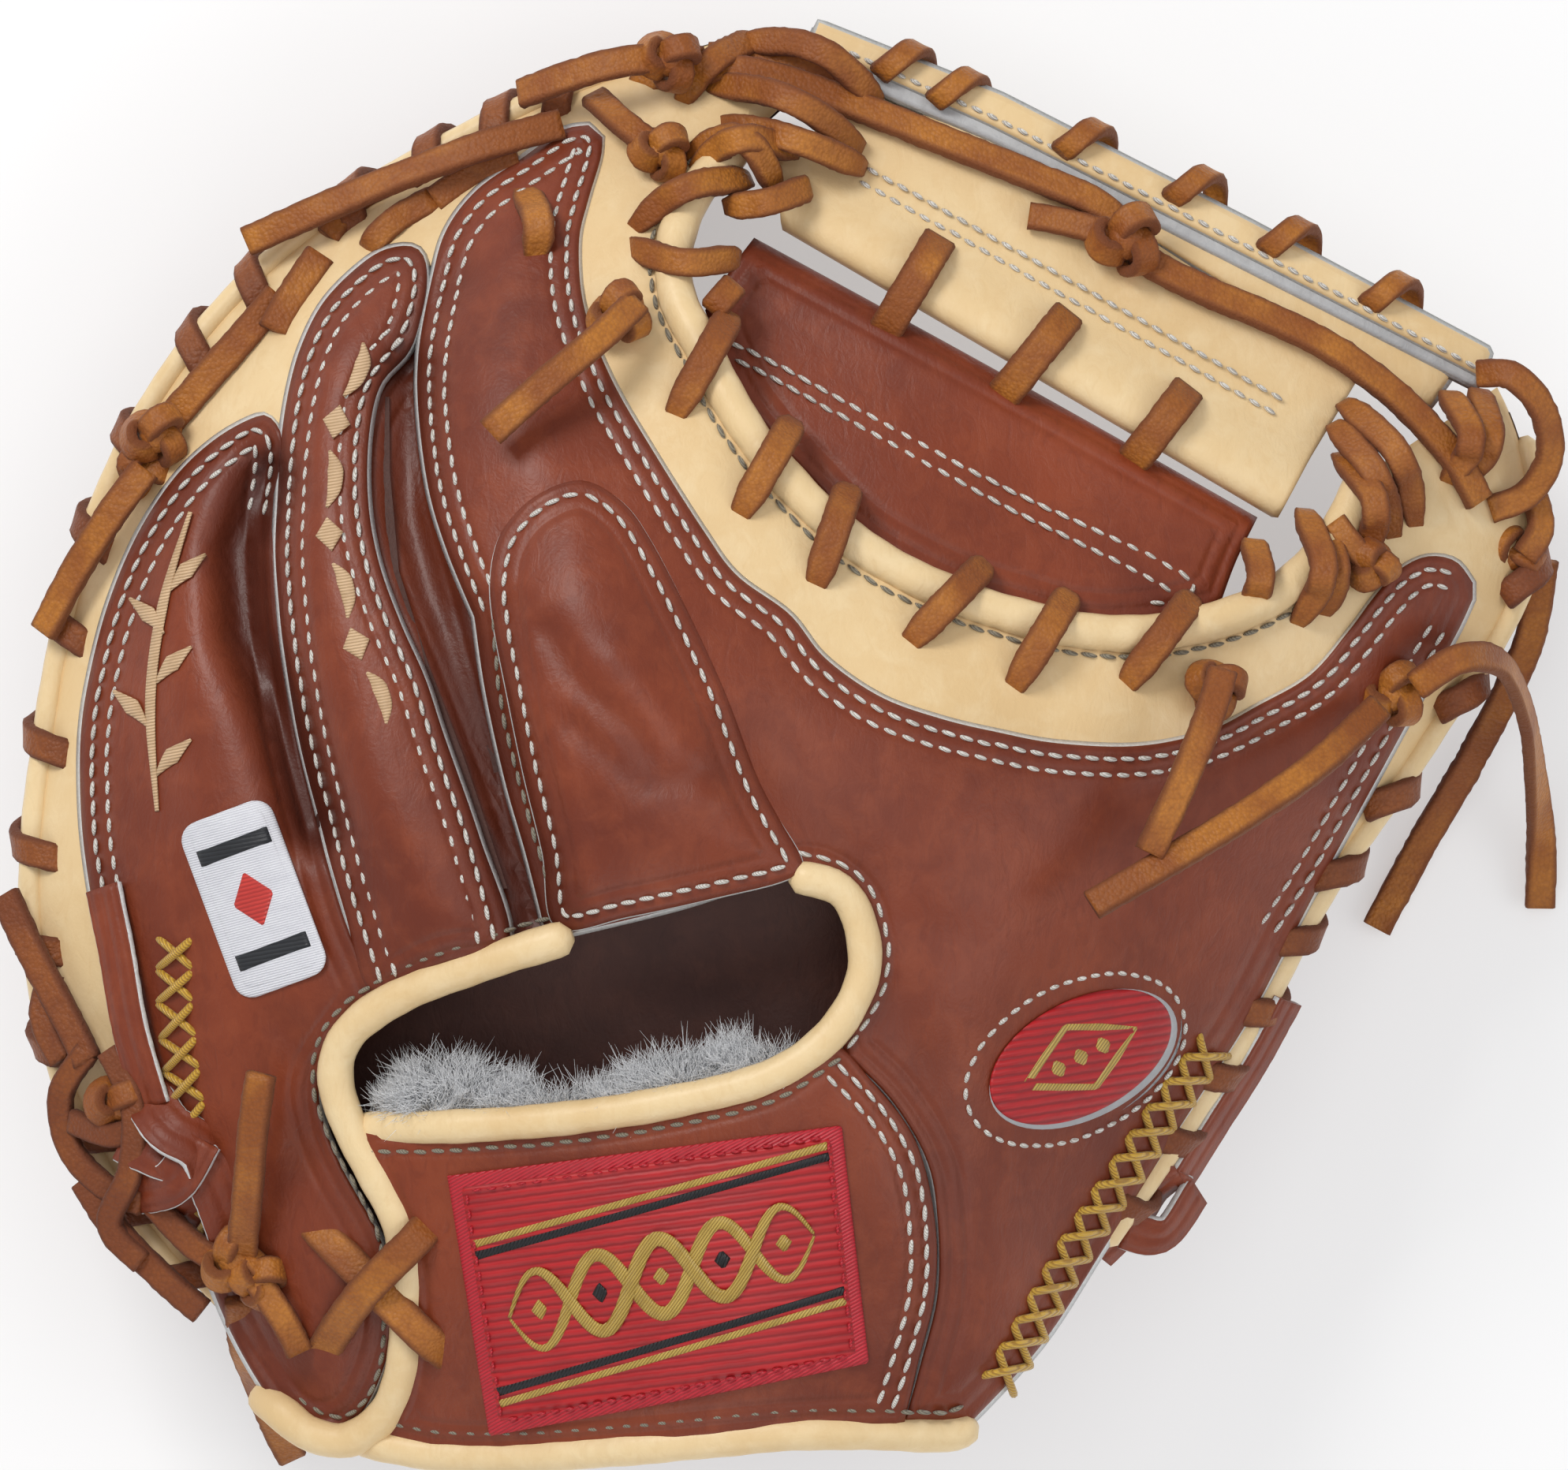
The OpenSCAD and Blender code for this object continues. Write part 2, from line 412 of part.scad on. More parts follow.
module web_top_thumb_half() { top_web(false); }

SPINE_FINGER = [[-16, 121], [-2, 120.5], [13, 116], [31, 109], [49, 101.5]];
SPINE_THUMB = [[55.5, 99], [64, 93], [72, 84.5], [87, 78], [101, 71], [114, 61], [123, 52], [128, 43]];
spine_lift = 11.5;
function web_path(pts, steps) =
    [for (i = [0:steps]) let(p = along(pts, i / steps)) [p[0], p[1], web_z(p) + spine_lift]];
module web_spine_lace_finger_half() { color(lace_tan) tube(web_path(SPINE_FINGER, 10), lace_w, 0.5); }
module web_spine_lace_thumb_half() {
    color(lace_tan) {
        tube(web_path(SPINE_THUMB, 14), lace_w, 0.5);
        knot([64, 93, web_z([64, 93]) + spine_lift + 1], 6.5);
    }
}
module link(low_end, high_end) {
    arch([low_end[0], low_end[1], web_z(low_end) + 2], [high_end[0], high_end[1], web_z(high_end) + 7], 6.5);
}
module web_link_laces_finger_half() {
    color(lace_tan) {
        link([19, 74.5], [29, 91]);
        link([37, 65], [46.5, 79.5]);
    }
}
module web_link_lace_thumb_half() { color(lace_tan) link([64.5, 51.5], [74, 63]); }

/* ---- wrist and sides ---- */
module wrist_adjust_lace() {
    color(lace_tan) {
        tube(on_back([[-88, -81], [-76, -94], [-63, -111]], 6, 5), lace_w, 0.45);
        tube(on_back([[-64, -84], [-75, -96], [-86, -113]], 6, 8), lace_w, 0.45);
    }
}
module strap_loop(path, width, lift) {
    tube([for (p = path) [p[0], p[1], p[2] + lift]], width, 0.3);
}
module little_finger_loop() {
    color(brown) {
        strap_loop([[-125, -36, 66], [-121, -52, 64], [-117.5, -66, 63]], 9, 4);
        knot([-115, -73, 68], 7);
    }
}
module thumb_loop() {
    color(brown) {
        strap_loop([[92, -52, 50], [84, -66, 50], [75, -80, 50]], 8, 0);
        knot([68, -88, 52], 6.5);
    }
}
LITTLE_STITCH = [[-112.5, -38], [-112, -49], [-111, -60], [-109, -72], [-107, -83], [-104.5, -93]];
THUMB_STITCH = [[78, -59], [73.5, -66], [67.5, -74], [61.5, -83], [56, -91.5], [51, -100], [45.5, -109], [40, -116]];
function zigzag(pts, n, half) =
    [for (i = [0:n]) let(p = along(pts, i / n), q = along(pts, min(i / n + 0.02, 1)), b = along(pts, i / n - 0.02),
        d = unit(q - b), s = (i % 2 == 0 ? half : -half) * [d[1], -d[0]]) lift_point(p + s, leather + 1.2)];
module side_stitch_little_finger() { color([0.8, 0.6, 0.1]) tube(zigzag(LITTLE_STITCH, 18, 2.4), 1.2, 1, 5); }
module side_stitch_thumb() { color([0.8, 0.6, 0.1]) tube(zigzag(THUMB_STITCH, 24, 2.2), 1.2, 1, 5); }

/* ---- badges ---- */
module wrist_badge() {
    color([0.75, 0.08, 0.12])
        back_sheet([[-61, -81], [-58, -104], [-54, -127]], [[10, -71.5], [12.5, -93], [15, -114.5]], 4, 6,
            leather + 0.4, leather + 2);
}
module finger_badge() {
    color([0.9, 0.9, 0.92])
        back_sheet([[-109, -19], [-104, -34], [-98.5, -48.5]], [[-95, -13], [-89.5, -27.5], [-84, -42]], 4, 3,
            leather + 0.4, leather + 1.8);
}
OVAL_BADGE = [54.5, -59];
module thumb_badge() {
    tilt = 27;
    long = [cos(tilt), sin(tilt)] * 19;
    wide = [-sin(tilt), cos(tilt)] * 11.5;
    color([0.75, 0.08, 0.12])
        back_sheet([for (a = [100:20:260]) OVAL_BADGE + long * cos(a) + wide * sin(a)],
            [for (a = [80:-20:-80]) OVAL_BADGE + long * cos(a) + wide * sin(a)], 8, 4, leather + 0.4, leather + 1.4);
}

/* ---- free lace ends ---- */
// Routes of the loose ends, in space
END_INDEX = [[-27, 79, 87], [-33, 73, 94], [-40, 67, 97.5], [-47, 61, 98], [-53.5, 55, 98]];
END_CROTCH = [[80, 11.5, 91], [78, 5, 96], [74.5, -4, 98.5], [70.5, -13, 99.5], [66.5, -21.5, 100]];
END_THUMB_LONG = [[109, 5, 70], [98, -5, 84], [85, -14, 93], [70, -23, 99], [56, -31, 102]];
END_THUMB_DROP = [[140.3, 32, 42], [137.5, 16, 31.5], [128.5, -3, 17], [119, -20, 6], [110.5, -36, 3]];
END_THUMB_CURL = [[116, 9, 68], [124, 14, 70], [132, 13, 58], [137, 4, 40], [139.5, -8, 22], [141, -20, 8],
    [141, -32, 3]];
END_TOP_SHORT = [[-15.5, 124, 56], [-22, 124.5, 60], [-31, 123.5, 62], [-40, 121, 59.5], [-48.5, 118, 55]];
END_TOP_LONG = [[-41, 112.5, 56], [-55, 108.5, 58.5], [-70, 103, 57.5], [-85, 97, 54], [-99, 91, 50]];
END_RIM_LEFT = [[-117.5, 49, 58], [-123.5, 41, 57.5], [-130, 31, 54], [-136.5, 19, 50]];
END_HEEL_LEFT = [[-99.5, -98, 66.5], [-99, -91, 73.5], [-98, -82, 79.5], [-97, -72, 84.5], [-95.5, -62, 88]];
END_HEEL_DROP = [[-100, -104, 62], [-99.5, -114, 48], [-96, -124, 32], [-91.5, -134, 18]];
function route(pts, steps) = [for (i = [0:steps]) along(pts, i / steps)];
module lace_end(pts, steps) { color(lace_tan) tube(route(pts, steps), lace_w, 0.5); }
module lace_end_index() { lace_end(END_INDEX, 5); }
module lace_end_crotch() { lace_end(END_CROTCH, 5); }
module lace_end_thumb_long() { lace_end(END_THUMB_LONG, 6); }
module lace_end_thumb_drop() { lace_end(END_THUMB_DROP, 6); }
module lace_end_thumb_curl() { lace_end(END_THUMB_CURL, 9); }
module lace_end_top_short() { lace_end(END_TOP_SHORT, 5); }
module lace_end_top_long() { lace_end(END_TOP_LONG, 6); }
module lace_end_rim_left() { lace_end(END_RIM_LEFT, 5); }
module lace_end_heel_left() { lace_end(END_HEEL_LEFT, 5); }
module lace_end_heel_drop() { lace_end(END_HEEL_DROP, 5); }

palm_leather_finger_side();
palm_leather_thumb_side();
finger_pad();
heel_pad();
thumb_pad();
hand_lining();
finger_dividers();
wrist_fleece();
back_little_finger();
heel_side_little_finger();
back_ring_finger();
finger_gusset();
back_index_finger();
index_finger_pad();
back_thumb();
fingertip_crescent();
crotch_trim_finger_side();
crotch_trim_thumb_side();
thumb_crescent();
wrist_strap();
window_welt();
strap_welt();
wrist_welt();
crotch_welt_finger_side();
crotch_welt_thumb_side();
rim_welt_finger_side();
rim_welt_thumb_side();
rim_lace_finger_side();
rim_lace_thumb_side();
crotch_lace_finger_side();
crotch_lace_thumb_side();
web_lower_finger_half();
web_lower_thumb_half();
web_middle_finger_half();
web_middle_thumb_half();
web_top_finger_half();
web_top_thumb_half();
web_spine_lace_finger_half();
web_spine_lace_thumb_half();
web_link_laces_finger_half();
web_link_lace_thumb_half();
wrist_adjust_lace();
little_finger_loop();
thumb_loop();
side_stitch_little_finger();
side_stitch_thumb();
wrist_badge();
finger_badge();
thumb_badge();
lace_end_index();
lace_end_crotch();
lace_end_thumb_long();
lace_end_thumb_drop();
lace_end_thumb_curl();
lace_end_top_short();
lace_end_top_long();
lace_end_rim_left();
lace_end_heel_left();
lace_end_heel_drop();
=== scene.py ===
import math
import bpy
import numpy as np
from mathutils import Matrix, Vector
from mathutils.geometry import delaunay_2d_cdt


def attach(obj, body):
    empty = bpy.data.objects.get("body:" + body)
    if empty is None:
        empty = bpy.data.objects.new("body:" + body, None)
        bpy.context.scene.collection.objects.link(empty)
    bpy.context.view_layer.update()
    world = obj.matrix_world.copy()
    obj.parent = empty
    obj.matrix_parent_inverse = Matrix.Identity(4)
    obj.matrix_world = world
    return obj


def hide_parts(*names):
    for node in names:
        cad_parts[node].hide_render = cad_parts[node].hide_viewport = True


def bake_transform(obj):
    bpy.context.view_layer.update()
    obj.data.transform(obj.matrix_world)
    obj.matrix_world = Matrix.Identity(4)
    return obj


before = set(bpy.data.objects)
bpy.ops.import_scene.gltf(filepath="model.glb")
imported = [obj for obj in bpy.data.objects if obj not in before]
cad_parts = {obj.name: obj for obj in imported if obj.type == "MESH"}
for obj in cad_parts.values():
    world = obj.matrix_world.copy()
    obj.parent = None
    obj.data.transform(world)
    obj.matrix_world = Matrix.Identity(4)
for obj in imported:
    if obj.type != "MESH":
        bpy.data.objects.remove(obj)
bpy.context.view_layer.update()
rng = np.random.default_rng(11)
HAND, THUMB = "hand_side", "thumb_side"
UP = (0, 0, 1)


def V(*values):
    """A float array of numbers, or of rows."""
    return np.array(values, float)


SHIFT = V(0, 2.9, 0)            # the mitt's own millimetres to the frame's

# ---------------------------------------------------------------- camera
cam = bpy.data.objects.new("camera", bpy.data.cameras.new("camera"))
bpy.context.scene.collection.objects.link(cam)
LENS, SENSOR = 500, 36          # millimetres
VIEW_W, VIEW_Z = 0.2883, 0.06   # metres seen across, and the height at which they are measured
cam.data.lens = LENS
cam.data.sensor_width = SENSOR
cam.data.clip_end = 20
cam.location = (0, SHIFT[1] / 1000, VIEW_Z + VIEW_W * LENS / SENSOR)
bpy.context.scene.camera = cam
bpy.context.scene.view_settings.view_transform = "Standard"

# ---------------------------------------------------------------- shared surfaces, as in the CAD
RIM_R = V(119, 143, 146, 131, 125, 126, 130, 126, 125, 128, 131, 133, 136, 143, 148, 149, 149, 137, 132, 131,
          112, 103, 101, 104)
RIM_BACK = V(46, 45, 42, 46, 46, 46, 47, 50, 62, 88, 62, 48)
RIM_PALM = V(44, 43, 40, 44, 44, 44, 45, 47, 52, 42, 57, 46)
BACK_TOP, WEB_DIP, DIP_REACH = 104, 28, 115      # the back's height, and its dip towards the web
POCKET_TOP, POCKET_RISE, RISE_REACH = 54, 8, 95  # the pocket's height, and its rise towards the web
PALM_WALL, PALM_SLOPE = 0.15, 0.57               # parts of the radius that the palm's wall and slope take
PALM_STEP = 1.6                                  # spacing of the points on the palm's crotch edge
FADE = 0.08                                      # part of the radius over which folds fade in from the rim
WEB_C = V(55, 75)
WEB_ALONG, WEB_UP = V(0.894, -0.447), V(0.447, 0.894)
CROTCH = V((-8, 108.5), (-16, 100), (-20, 90), (-19.5, 80), (-15, 71), (-10, 61), (-4, 52), (4.5, 42.5),
           (13, 35), (22, 29.5), (32, 25), (43, 21.5), (54.5, 19), (66, 18.5), (77.5, 20.5), (87, 24),
           (94.5, 29), (100, 35), (104, 41.5), (107, 48))


def cubic(a, b, c, d, t):
    """The smooth curve from b to c between neighbours a and d, t from 0 to 1."""
    return 0.5 * (2 * b + (c - a) * t + (2 * a - 5 * b + 4 * c - d) * t * t
                  + (3 * b - a - 3 * c + d) * t ** 3)


def cyclic(values, degrees):
    n = len(values)
    f = np.mod(degrees, 360) * n / 360
    i = np.floor(f).astype(int)
    return cubic(values[(i - 1) % n], values[i % n], values[(i + 1) % n], values[(i + 2) % n], f - i)


def smooth(x):
    x = np.clip(x, 0, 1)
    return x * x * (3 - 2 * x)


def spline(pts, step, closed=False):
    """Points about step apart on a smooth curve through pts, in two or three dimensions."""
    pts = np.array(pts, float)
    n = len(pts)
    out = []
    for i in range(n if closed else n - 1):
        g = (lambda k: pts[k % n]) if closed else (lambda k: pts[min(max(k, 0), n - 1)])
        t = np.linspace(0, 1, 12, endpoint=False)[:, None]
        out.append(cubic(g(i - 1), g(i), g(i + 1), g(i + 2), t))
    if not closed:
        out.append(pts[-1:])
    return resample(np.vstack(out), step, closed)


def resample(pts, step, closed=False):
    pts = np.array(pts, float)
    if closed:
        pts = np.vstack([pts, pts[:1]])
    s = np.concatenate([[0], np.cumsum(np.linalg.norm(np.diff(pts, axis=0), axis=1))])
    n = max(int(round(s[-1] / step)), 2)
    u = np.linspace(0, s[-1], n + 1)
    out = np.stack([np.interp(u, s, pts[:, k]) for k in range(pts.shape[1])], 1)
    return out[:-1] if closed else out


def rim_radius(a):
    return cyclic(RIM_R, a)


def rim(a, out=0.0):
    a = np.asarray(a, float)
    r = rim_radius(a) + out
    return np.stack([r * np.cos(np.radians(a)), r * np.sin(np.radians(a))], -1)


def angle(P):
    return np.degrees(np.arctan2(P[..., 1], P[..., 0]))


def inward(P):
    return np.maximum(1 - np.linalg.norm(P, axis=-1) / rim_radius(angle(P)), 0)


def left_of(d):
    """Unit vectors to the left of the directions d."""
    n = np.column_stack([-d[:, 1], d[:, 0]])
    return n / (np.linalg.norm(n, axis=1)[:, None] + 1e-12)


def spread(ups, count):
    """The directions ups, eased over count points; a single one holds for all of them."""
    ups = np.array(ups, float)
    if ups.ndim < 2:
        return ups
    k = np.linspace(0, len(ups) - 1, count)
    return np.stack([np.interp(k, range(len(ups)), ups[:, j]) for j in range(3)], 1)


def line_dist(P, line, closed=False):
    """Distance from points to a polyline."""
    line = np.array(line, float)
    if closed:
        line = np.vstack([line, line[:1]])
    best = np.full(len(P), 1e9)
    for a, b in zip(line[:-1], line[1:]):
        d = b - a
        t = np.clip(((P - a) @ d) / max(d @ d, 1e-9), 0, 1)
        best = np.minimum(best, np.hypot(*(P - a - t[:, None] * d).T))
    return best


# Soft folds and swells of the worn-in back: line, height, width
FOLDS = [
    ([(-95, 47), (-100, 34), (-98.5, 19), (-92, 3), (-86, -16)], -9.0, 5.0),
    ([(-109, 44), (-112, 28), (-110, 8), (-104, -14)], 2.6, 8),
    ([(-84, 72), (-87, 50), (-84, 22), (-74, -10), (-62, -36)], 2.8, 8),
    ([(-68, 66), (-68, 40), (-62, 18), (-54, -8), (-46, -34)], -5.0, 5),
    ([(-50, 92), (-52, 66), (-46, 50)], 2.4, 10),
    ([(-56, 22), (-52, 4), (-44, -22), (-40, -34)], -2.6, 4),
    ([(-36, 20), (-27, -2), (-22, -20)], 2.8, 14),
    ([(-5, -2), (5, -16), (14, -26)], -1.6, 7),
    ([(28, 2), (33, -30), (34, -70), (30, -110)], 2.5, 16),
    ([(18, -48), (24, -60), (28, -80)], -1.6, 6),
    ([(-18, 60), (-2, 38), (18, 20)], 1.0, 9),
    ([(60, -6), (80, -14), (100, -2)], 2.2, 12),
    ([(-88, -60), (-92, -90), (-88, -112)], 1.5, 12),
    ([(-60, 84), (-66, 76), (-70, 70)], -2.2, 4),
    ([(-43, 19), (-37, 9), (-29, 2), (-25, -4)], -1.5, 2.4),
    ([(-38, 2), (-26, -9), (-12, -7)], -1.2, 2.6),
    ([(-30, 14), (-19, 2), (-14, -10)], 1.2, 4),
    ([(-46, 6), (-40, -8), (-38, -24)], 1.0, 3),
    ([(-49, 24), (-50, 10), (-46, -4)], -1.1, 2),
    ([(-92, -52), (-84, -62), (-88, -78)], -1.4, 4),
    ([(6, -40), (20, -34), (34, -38)], -0.8, 5),
    ([(-60, 30), (-54, 12), (-50, -8)], -1.2, 2.2),
    ([(-66, 20), (-59, 2), (-54, -16)], 0.9, 2.4),
]


def top_z(P):
    return BACK_TOP - WEB_DIP * smooth(1 - np.linalg.norm(P - WEB_C, axis=-1) / DIP_REACH)


def base_back(P):
    edge = cyclic(RIM_BACK, angle(P))
    return edge + (top_z(P) - edge) * (1 - (1 - inward(P)) ** 2.2)


def back_z(P):
    P = np.atleast_2d(P)
    z = base_back(P)
    fade = smooth(inward(P) / FADE)
    for line, h, w in FOLDS:
        z = z + fade * h * np.exp(-(line_dist(P, line) / w) ** 2)
    wave = np.sin(P[:, 0] * 0.11 + 1.7 * np.sin(P[:, 1] * 0.06)) * np.sin(P[:, 1] * 0.09 + 0.7)
    return z + fade * 0.5 * wave


def pocket_z(P):
    return POCKET_TOP + POCKET_RISE * smooth(1 - np.linalg.norm(P - WEB_C, axis=-1) / RISE_REACH)


CROTCH_LINE = spline(CROTCH, PALM_STEP)


def palm_z(P, cut=0.0):
    """The palm's outer face; cut is how far inside the rim its top edge stands."""
    P = np.atleast_2d(P)
    t = np.maximum(inward(P) - cut / rim_radius(angle(P)), 0)
    k = 1 - np.clip(t / PALM_WALL, 0, 1)
    wall = cyclic(RIM_PALM, angle(P)) * (1 - np.sqrt(1 - k * k))
    z = wall + pocket_z(P) * smooth((t - PALM_WALL) / PALM_SLOPE)
    q = np.clip(1 - np.maximum(line_dist(P, CROTCH_LINE) - 0.3, 0) / 13, 0, 1)
    return z + (base_back(P) - 6 - z) * (1 - np.sqrt(1 - q * q * 0.999))


def web_z(P):
    P = np.atleast_2d(P)
    return 76 - 31 * (P @ WEB_UP - 41) / 82 - 5 * ((P - WEB_C) @ WEB_ALONG / 60) ** 2


def on(surface, pts, lift=0.0):
    pts = np.atleast_2d(np.array(pts, float))
    return np.column_stack([pts, surface(pts) + lift])


# ---------------------------------------------------------------- materials
class Nodes:
    """Short-hand for building one material."""

    def __init__(self, name):
        self.m = bpy.data.materials.new(name)
        self.m.use_nodes = True
        self.t = self.m.node_tree
        self.bsdf = self.t.nodes["Principled BSDF"]
        self.co = self.t.nodes.new("ShaderNodeTexCoord").outputs["Object"]

    def add(self, kind, links=None, **props):
        n = self.t.nodes.new("ShaderNode" + kind)
        for k, v in props.items():
            setattr(n, k, v)
        for k, v in (links or {}).items():
            s = n.inputs[k]
            if isinstance(v, bpy.types.NodeSocket):
                self.t.links.new(v, s)
            else:
                s.default_value = v
        return n

    def mapped(self, scale):
        return self.add("Mapping", {0: self.co, "Scale": scale}).outputs[0]

    def noise(self, scale, detail=4, rough=0.55, distort=0.0, vec=None):
        return self.add("TexNoise", {"Vector": vec or self.co, "Scale": scale, "Detail": detail,
                                     "Roughness": rough, "Distortion": distort}).outputs["Fac"]

    def ramp(self, fac, stops):
        n = self.add("ValToRGB", {0: fac})
        e = n.color_ramp.elements
        while len(e) < len(stops):
            e.new(0.5)
        for el, (p, c) in zip(e, stops):
            el.position = p
            el.color = (*c, 1) if not isinstance(c, (int, float)) else (c, c, c, 1)
        return n.outputs[0]

    def mix(self, fac, a, b):
        n = self.add("Mix", data_type="RGBA", blend_type="MIX")
        for s, v in ((n.inputs[0], fac), (n.inputs[6], a), (n.inputs[7], b)):
            if isinstance(v, bpy.types.NodeSocket):
                self.t.links.new(v, s)
            else:
                s.default_value = v if isinstance(v, (int, float)) else (*v, 1)
        return n.outputs[2]

    def math(self, op, a, b=0.0, c=0.0):
        n = self.add("Math", {0: a, 1: b, 2: c}, operation=op)
        return n.outputs[0]

    def attr(self, name):
        return self.add("Attribute", attribute_name=name).outputs["Fac"]

    def bump(self, height, strength, distance, normal=None):
        links = {"Height": height, "Strength": strength, "Distance": distance}
        if normal is not None:
            links["Normal"] = normal
        return self.add("Bump", links).outputs[0]

    def set(self, **vals):
        for k, v in vals.items():
            s = self.bsdf.inputs[k.replace("_", " ")]
            if isinstance(v, bpy.types.NodeSocket):
                self.t.links.new(v, s)
            else:
                s.default_value = v
        return self


def leather(name, base, dark, light, edge_col, rough=0.42, grain=1.0, groove=True, slot="brown_leather"):
    k = Nodes(name)
    cloudy = k.noise(28, 3, 0.5)
    mottled = k.noise(150, 4, 0.6, 0.4)
    c = k.mix(k.ramp(cloudy, [(0.3, 0.0), (0.7, 1.0)]), base, dark)
    c = k.mix(k.ramp(mottled, [(0.45, 0.0), (0.75, 0.45)]), c, light)
    pores = k.add("TexVoronoi", {"Vector": k.co, "Scale": 1500.0, "Randomness": 1.0}, feature="F1")
    fine = k.noise(1900, 2, 0.6)
    wrinkle = k.noise(330, 5, 0.62, 1.3, k.mapped((1, 0.45, 1)))
    c = k.mix(k.ramp(wrinkle, [(0.34, 0.35), (0.5, 0.0)]), c, dark)
    edge = k.attr("edge")
    near = k.math("MULTIPLY", k.math("LESS_THAN", edge, 0.9), 0.35)
    c = k.mix(near, c, dark)
    # painted shade: the leather is darkened in the back's deep folds and darker towards each panel's edge
    c = k.mix(k.math("MULTIPLY", k.attr("fold_shade_and_edge_dark"), 0.9), c, (dark[0] * 0.42, dark[1] * 0.42, dark[2] * 0.45))
    raw = k.math("LESS_THAN", edge, 0.02)
    c = k.mix(raw, c, k.mix(fine, tuple(0.55 * v for v in edge_col), edge_col))
    rgh = k.add("MapRange", {0: cloudy, 1: 0.2, 2: 0.8, 3: rough - 0.06, 4: rough + 0.08}).outputs[0]
    h = k.math("MULTIPLY_ADD", pores.outputs["Distance"], 0.55, k.math("MULTIPLY", fine, 0.5))
    nrm = k.bump(h, 0.22 * grain, 0.00022)
    nrm = k.bump(wrinkle, 0.30 * grain, 0.0007, nrm)
    if groove:
        total = None
        for d0 in (2.3, 5.2):
            g = k.math("DIVIDE", k.math("SUBTRACT", edge, d0), 0.75)
            g = k.math("POWER", 2.718, k.math("MULTIPLY", k.math("MULTIPLY", g, g), -1))
            total = g if total is None else k.math("ADD", total, g)
        nrm = k.bump(k.math("MULTIPLY", total, -1), 0.5, 0.0006, nrm)
    k.set(Base_Color=c, Roughness=rgh, Normal=nrm)
    k.bsdf.inputs["Specular IOR Level"].default_value = 0.34
    k.bsdf.inputs["Coat Weight"].default_value = 0.05
    k.bsdf.inputs["Coat Roughness"].default_value = 0.32
    k.m["slot"] = slot
    return k.m


def lace_material(name, deep, warm, fuzz):
    k = Nodes(name)
    patch = k.noise(60, 3, 0.55, 0.3)
    streak = k.noise(760, 4, 0.65, 0.5)
    cells = k.add("TexVoronoi", {"Vector": k.co, "Scale": 1400.0, "Randomness": 1.0},
                  feature="F1").outputs["Distance"]
    across = k.attr("across")
    c = k.mix(k.ramp(patch, [(0.40, 0.0), (0.66, 1.0)]), deep, warm)
    c = k.mix(k.ramp(streak, [(0.38, 0.18), (0.58, 0.0)]), c, (deep[0] * 0.7, deep[1] * 0.62, deep[2] * 0.6))
    c = k.mix(k.ramp(cells, [(0.35, 0.0), (0.75, 0.22)]), c, (deep[0] * 0.55, deep[1] * 0.5, deep[2] * 0.5))
    side = k.ramp(across, [(0.60, 0.0), (0.93, 0.85)])
    c = k.mix(side, c, fuzz)
    h = k.math("MULTIPLY_ADD", k.noise(1500, 3, 0.75), k.math("MULTIPLY_ADD", side, 1.4, 0.4),
               k.math("MULTIPLY_ADD", cells, -0.6, k.math("MULTIPLY", streak, 0.5)))
    rgh = k.math("MULTIPLY_ADD", side, 0.32, k.math("MULTIPLY_ADD", patch, -0.25, 0.60))
    k.set(Base_Color=c, Roughness=rgh, Normal=k.bump(h, 0.5, 0.0006))
    k.bsdf.inputs["Specular IOR Level"].default_value = 0.35
    k.bsdf.inputs["Sheen Weight"].default_value = 0.04
    k.m["slot"] = "rawhide_lace"
    return k.m


def thread_material(name, colour, dark, slot, ply, rough=0.5):
    k = Nodes(name)
    strands = k.add("TexWave", {"Vector": k.mapped((1, 1, 1)), "Scale": ply, "Distortion": 1.2, "Detail": 2},
                    wave_type="BANDS", bands_direction="DIAGONAL").outputs["Fac"]
    c = k.mix(k.ramp(strands, [(0.1, 1.0), (0.5, 0.0)]), colour, dark)
    c = k.mix(k.ramp(k.noise(120), [(0.4, 0.0), (0.7, 0.4)]), c, dark)
    k.set(Base_Color=c, Roughness=k.add("MapRange", {0: strands, 3: rough + 0.1, 4: rough - 0.1}).outputs[0],
          Normal=k.bump(strands, 0.6, 0.0003))
    k.bsdf.inputs["Sheen Weight"].default_value = 0.2
    k.m["slot"] = slot
    return k.m


def satin_material(name, colour, dark, direction=0.0, pitch=620, gloss=0.36):
    """Embroidery: parallel threads with a sheen along them."""
    k = Nodes(name)
    turned = k.add("Mapping", {0: k.co, "Rotation": (0, 0, math.radians(direction))}).outputs[0]
    rows = k.add("TexWave", {"Vector": turned, "Scale": pitch, "Distortion": 0.6, "Detail": 1.5,
                             "Detail Scale": 2}, wave_type="BANDS", bands_direction="X").outputs["Fac"]
    broad = k.noise(260, 3, 0.6, 0.2, k.add("Mapping", {0: turned, "Scale": (1.6, 0.25, 1)}).outputs[0])
    c = k.mix(k.ramp(rows, [(0.05, 1.0), (0.45, 0.0)]), colour, dark)
    c = k.mix(k.ramp(broad, [(0.35, 0.45), (0.6, 0.0)]), c, dark)
    k.set(Base_Color=c, Roughness=k.math("MULTIPLY_ADD", broad, 0.25, gloss),
          Normal=k.bump(k.math("MULTIPLY_ADD", broad, 0.6, rows), 0.55, 0.0004))
    k.bsdf.inputs["Sheen Weight"].default_value = 0.03
    k.m["slot"] = "badge"
    return k.m


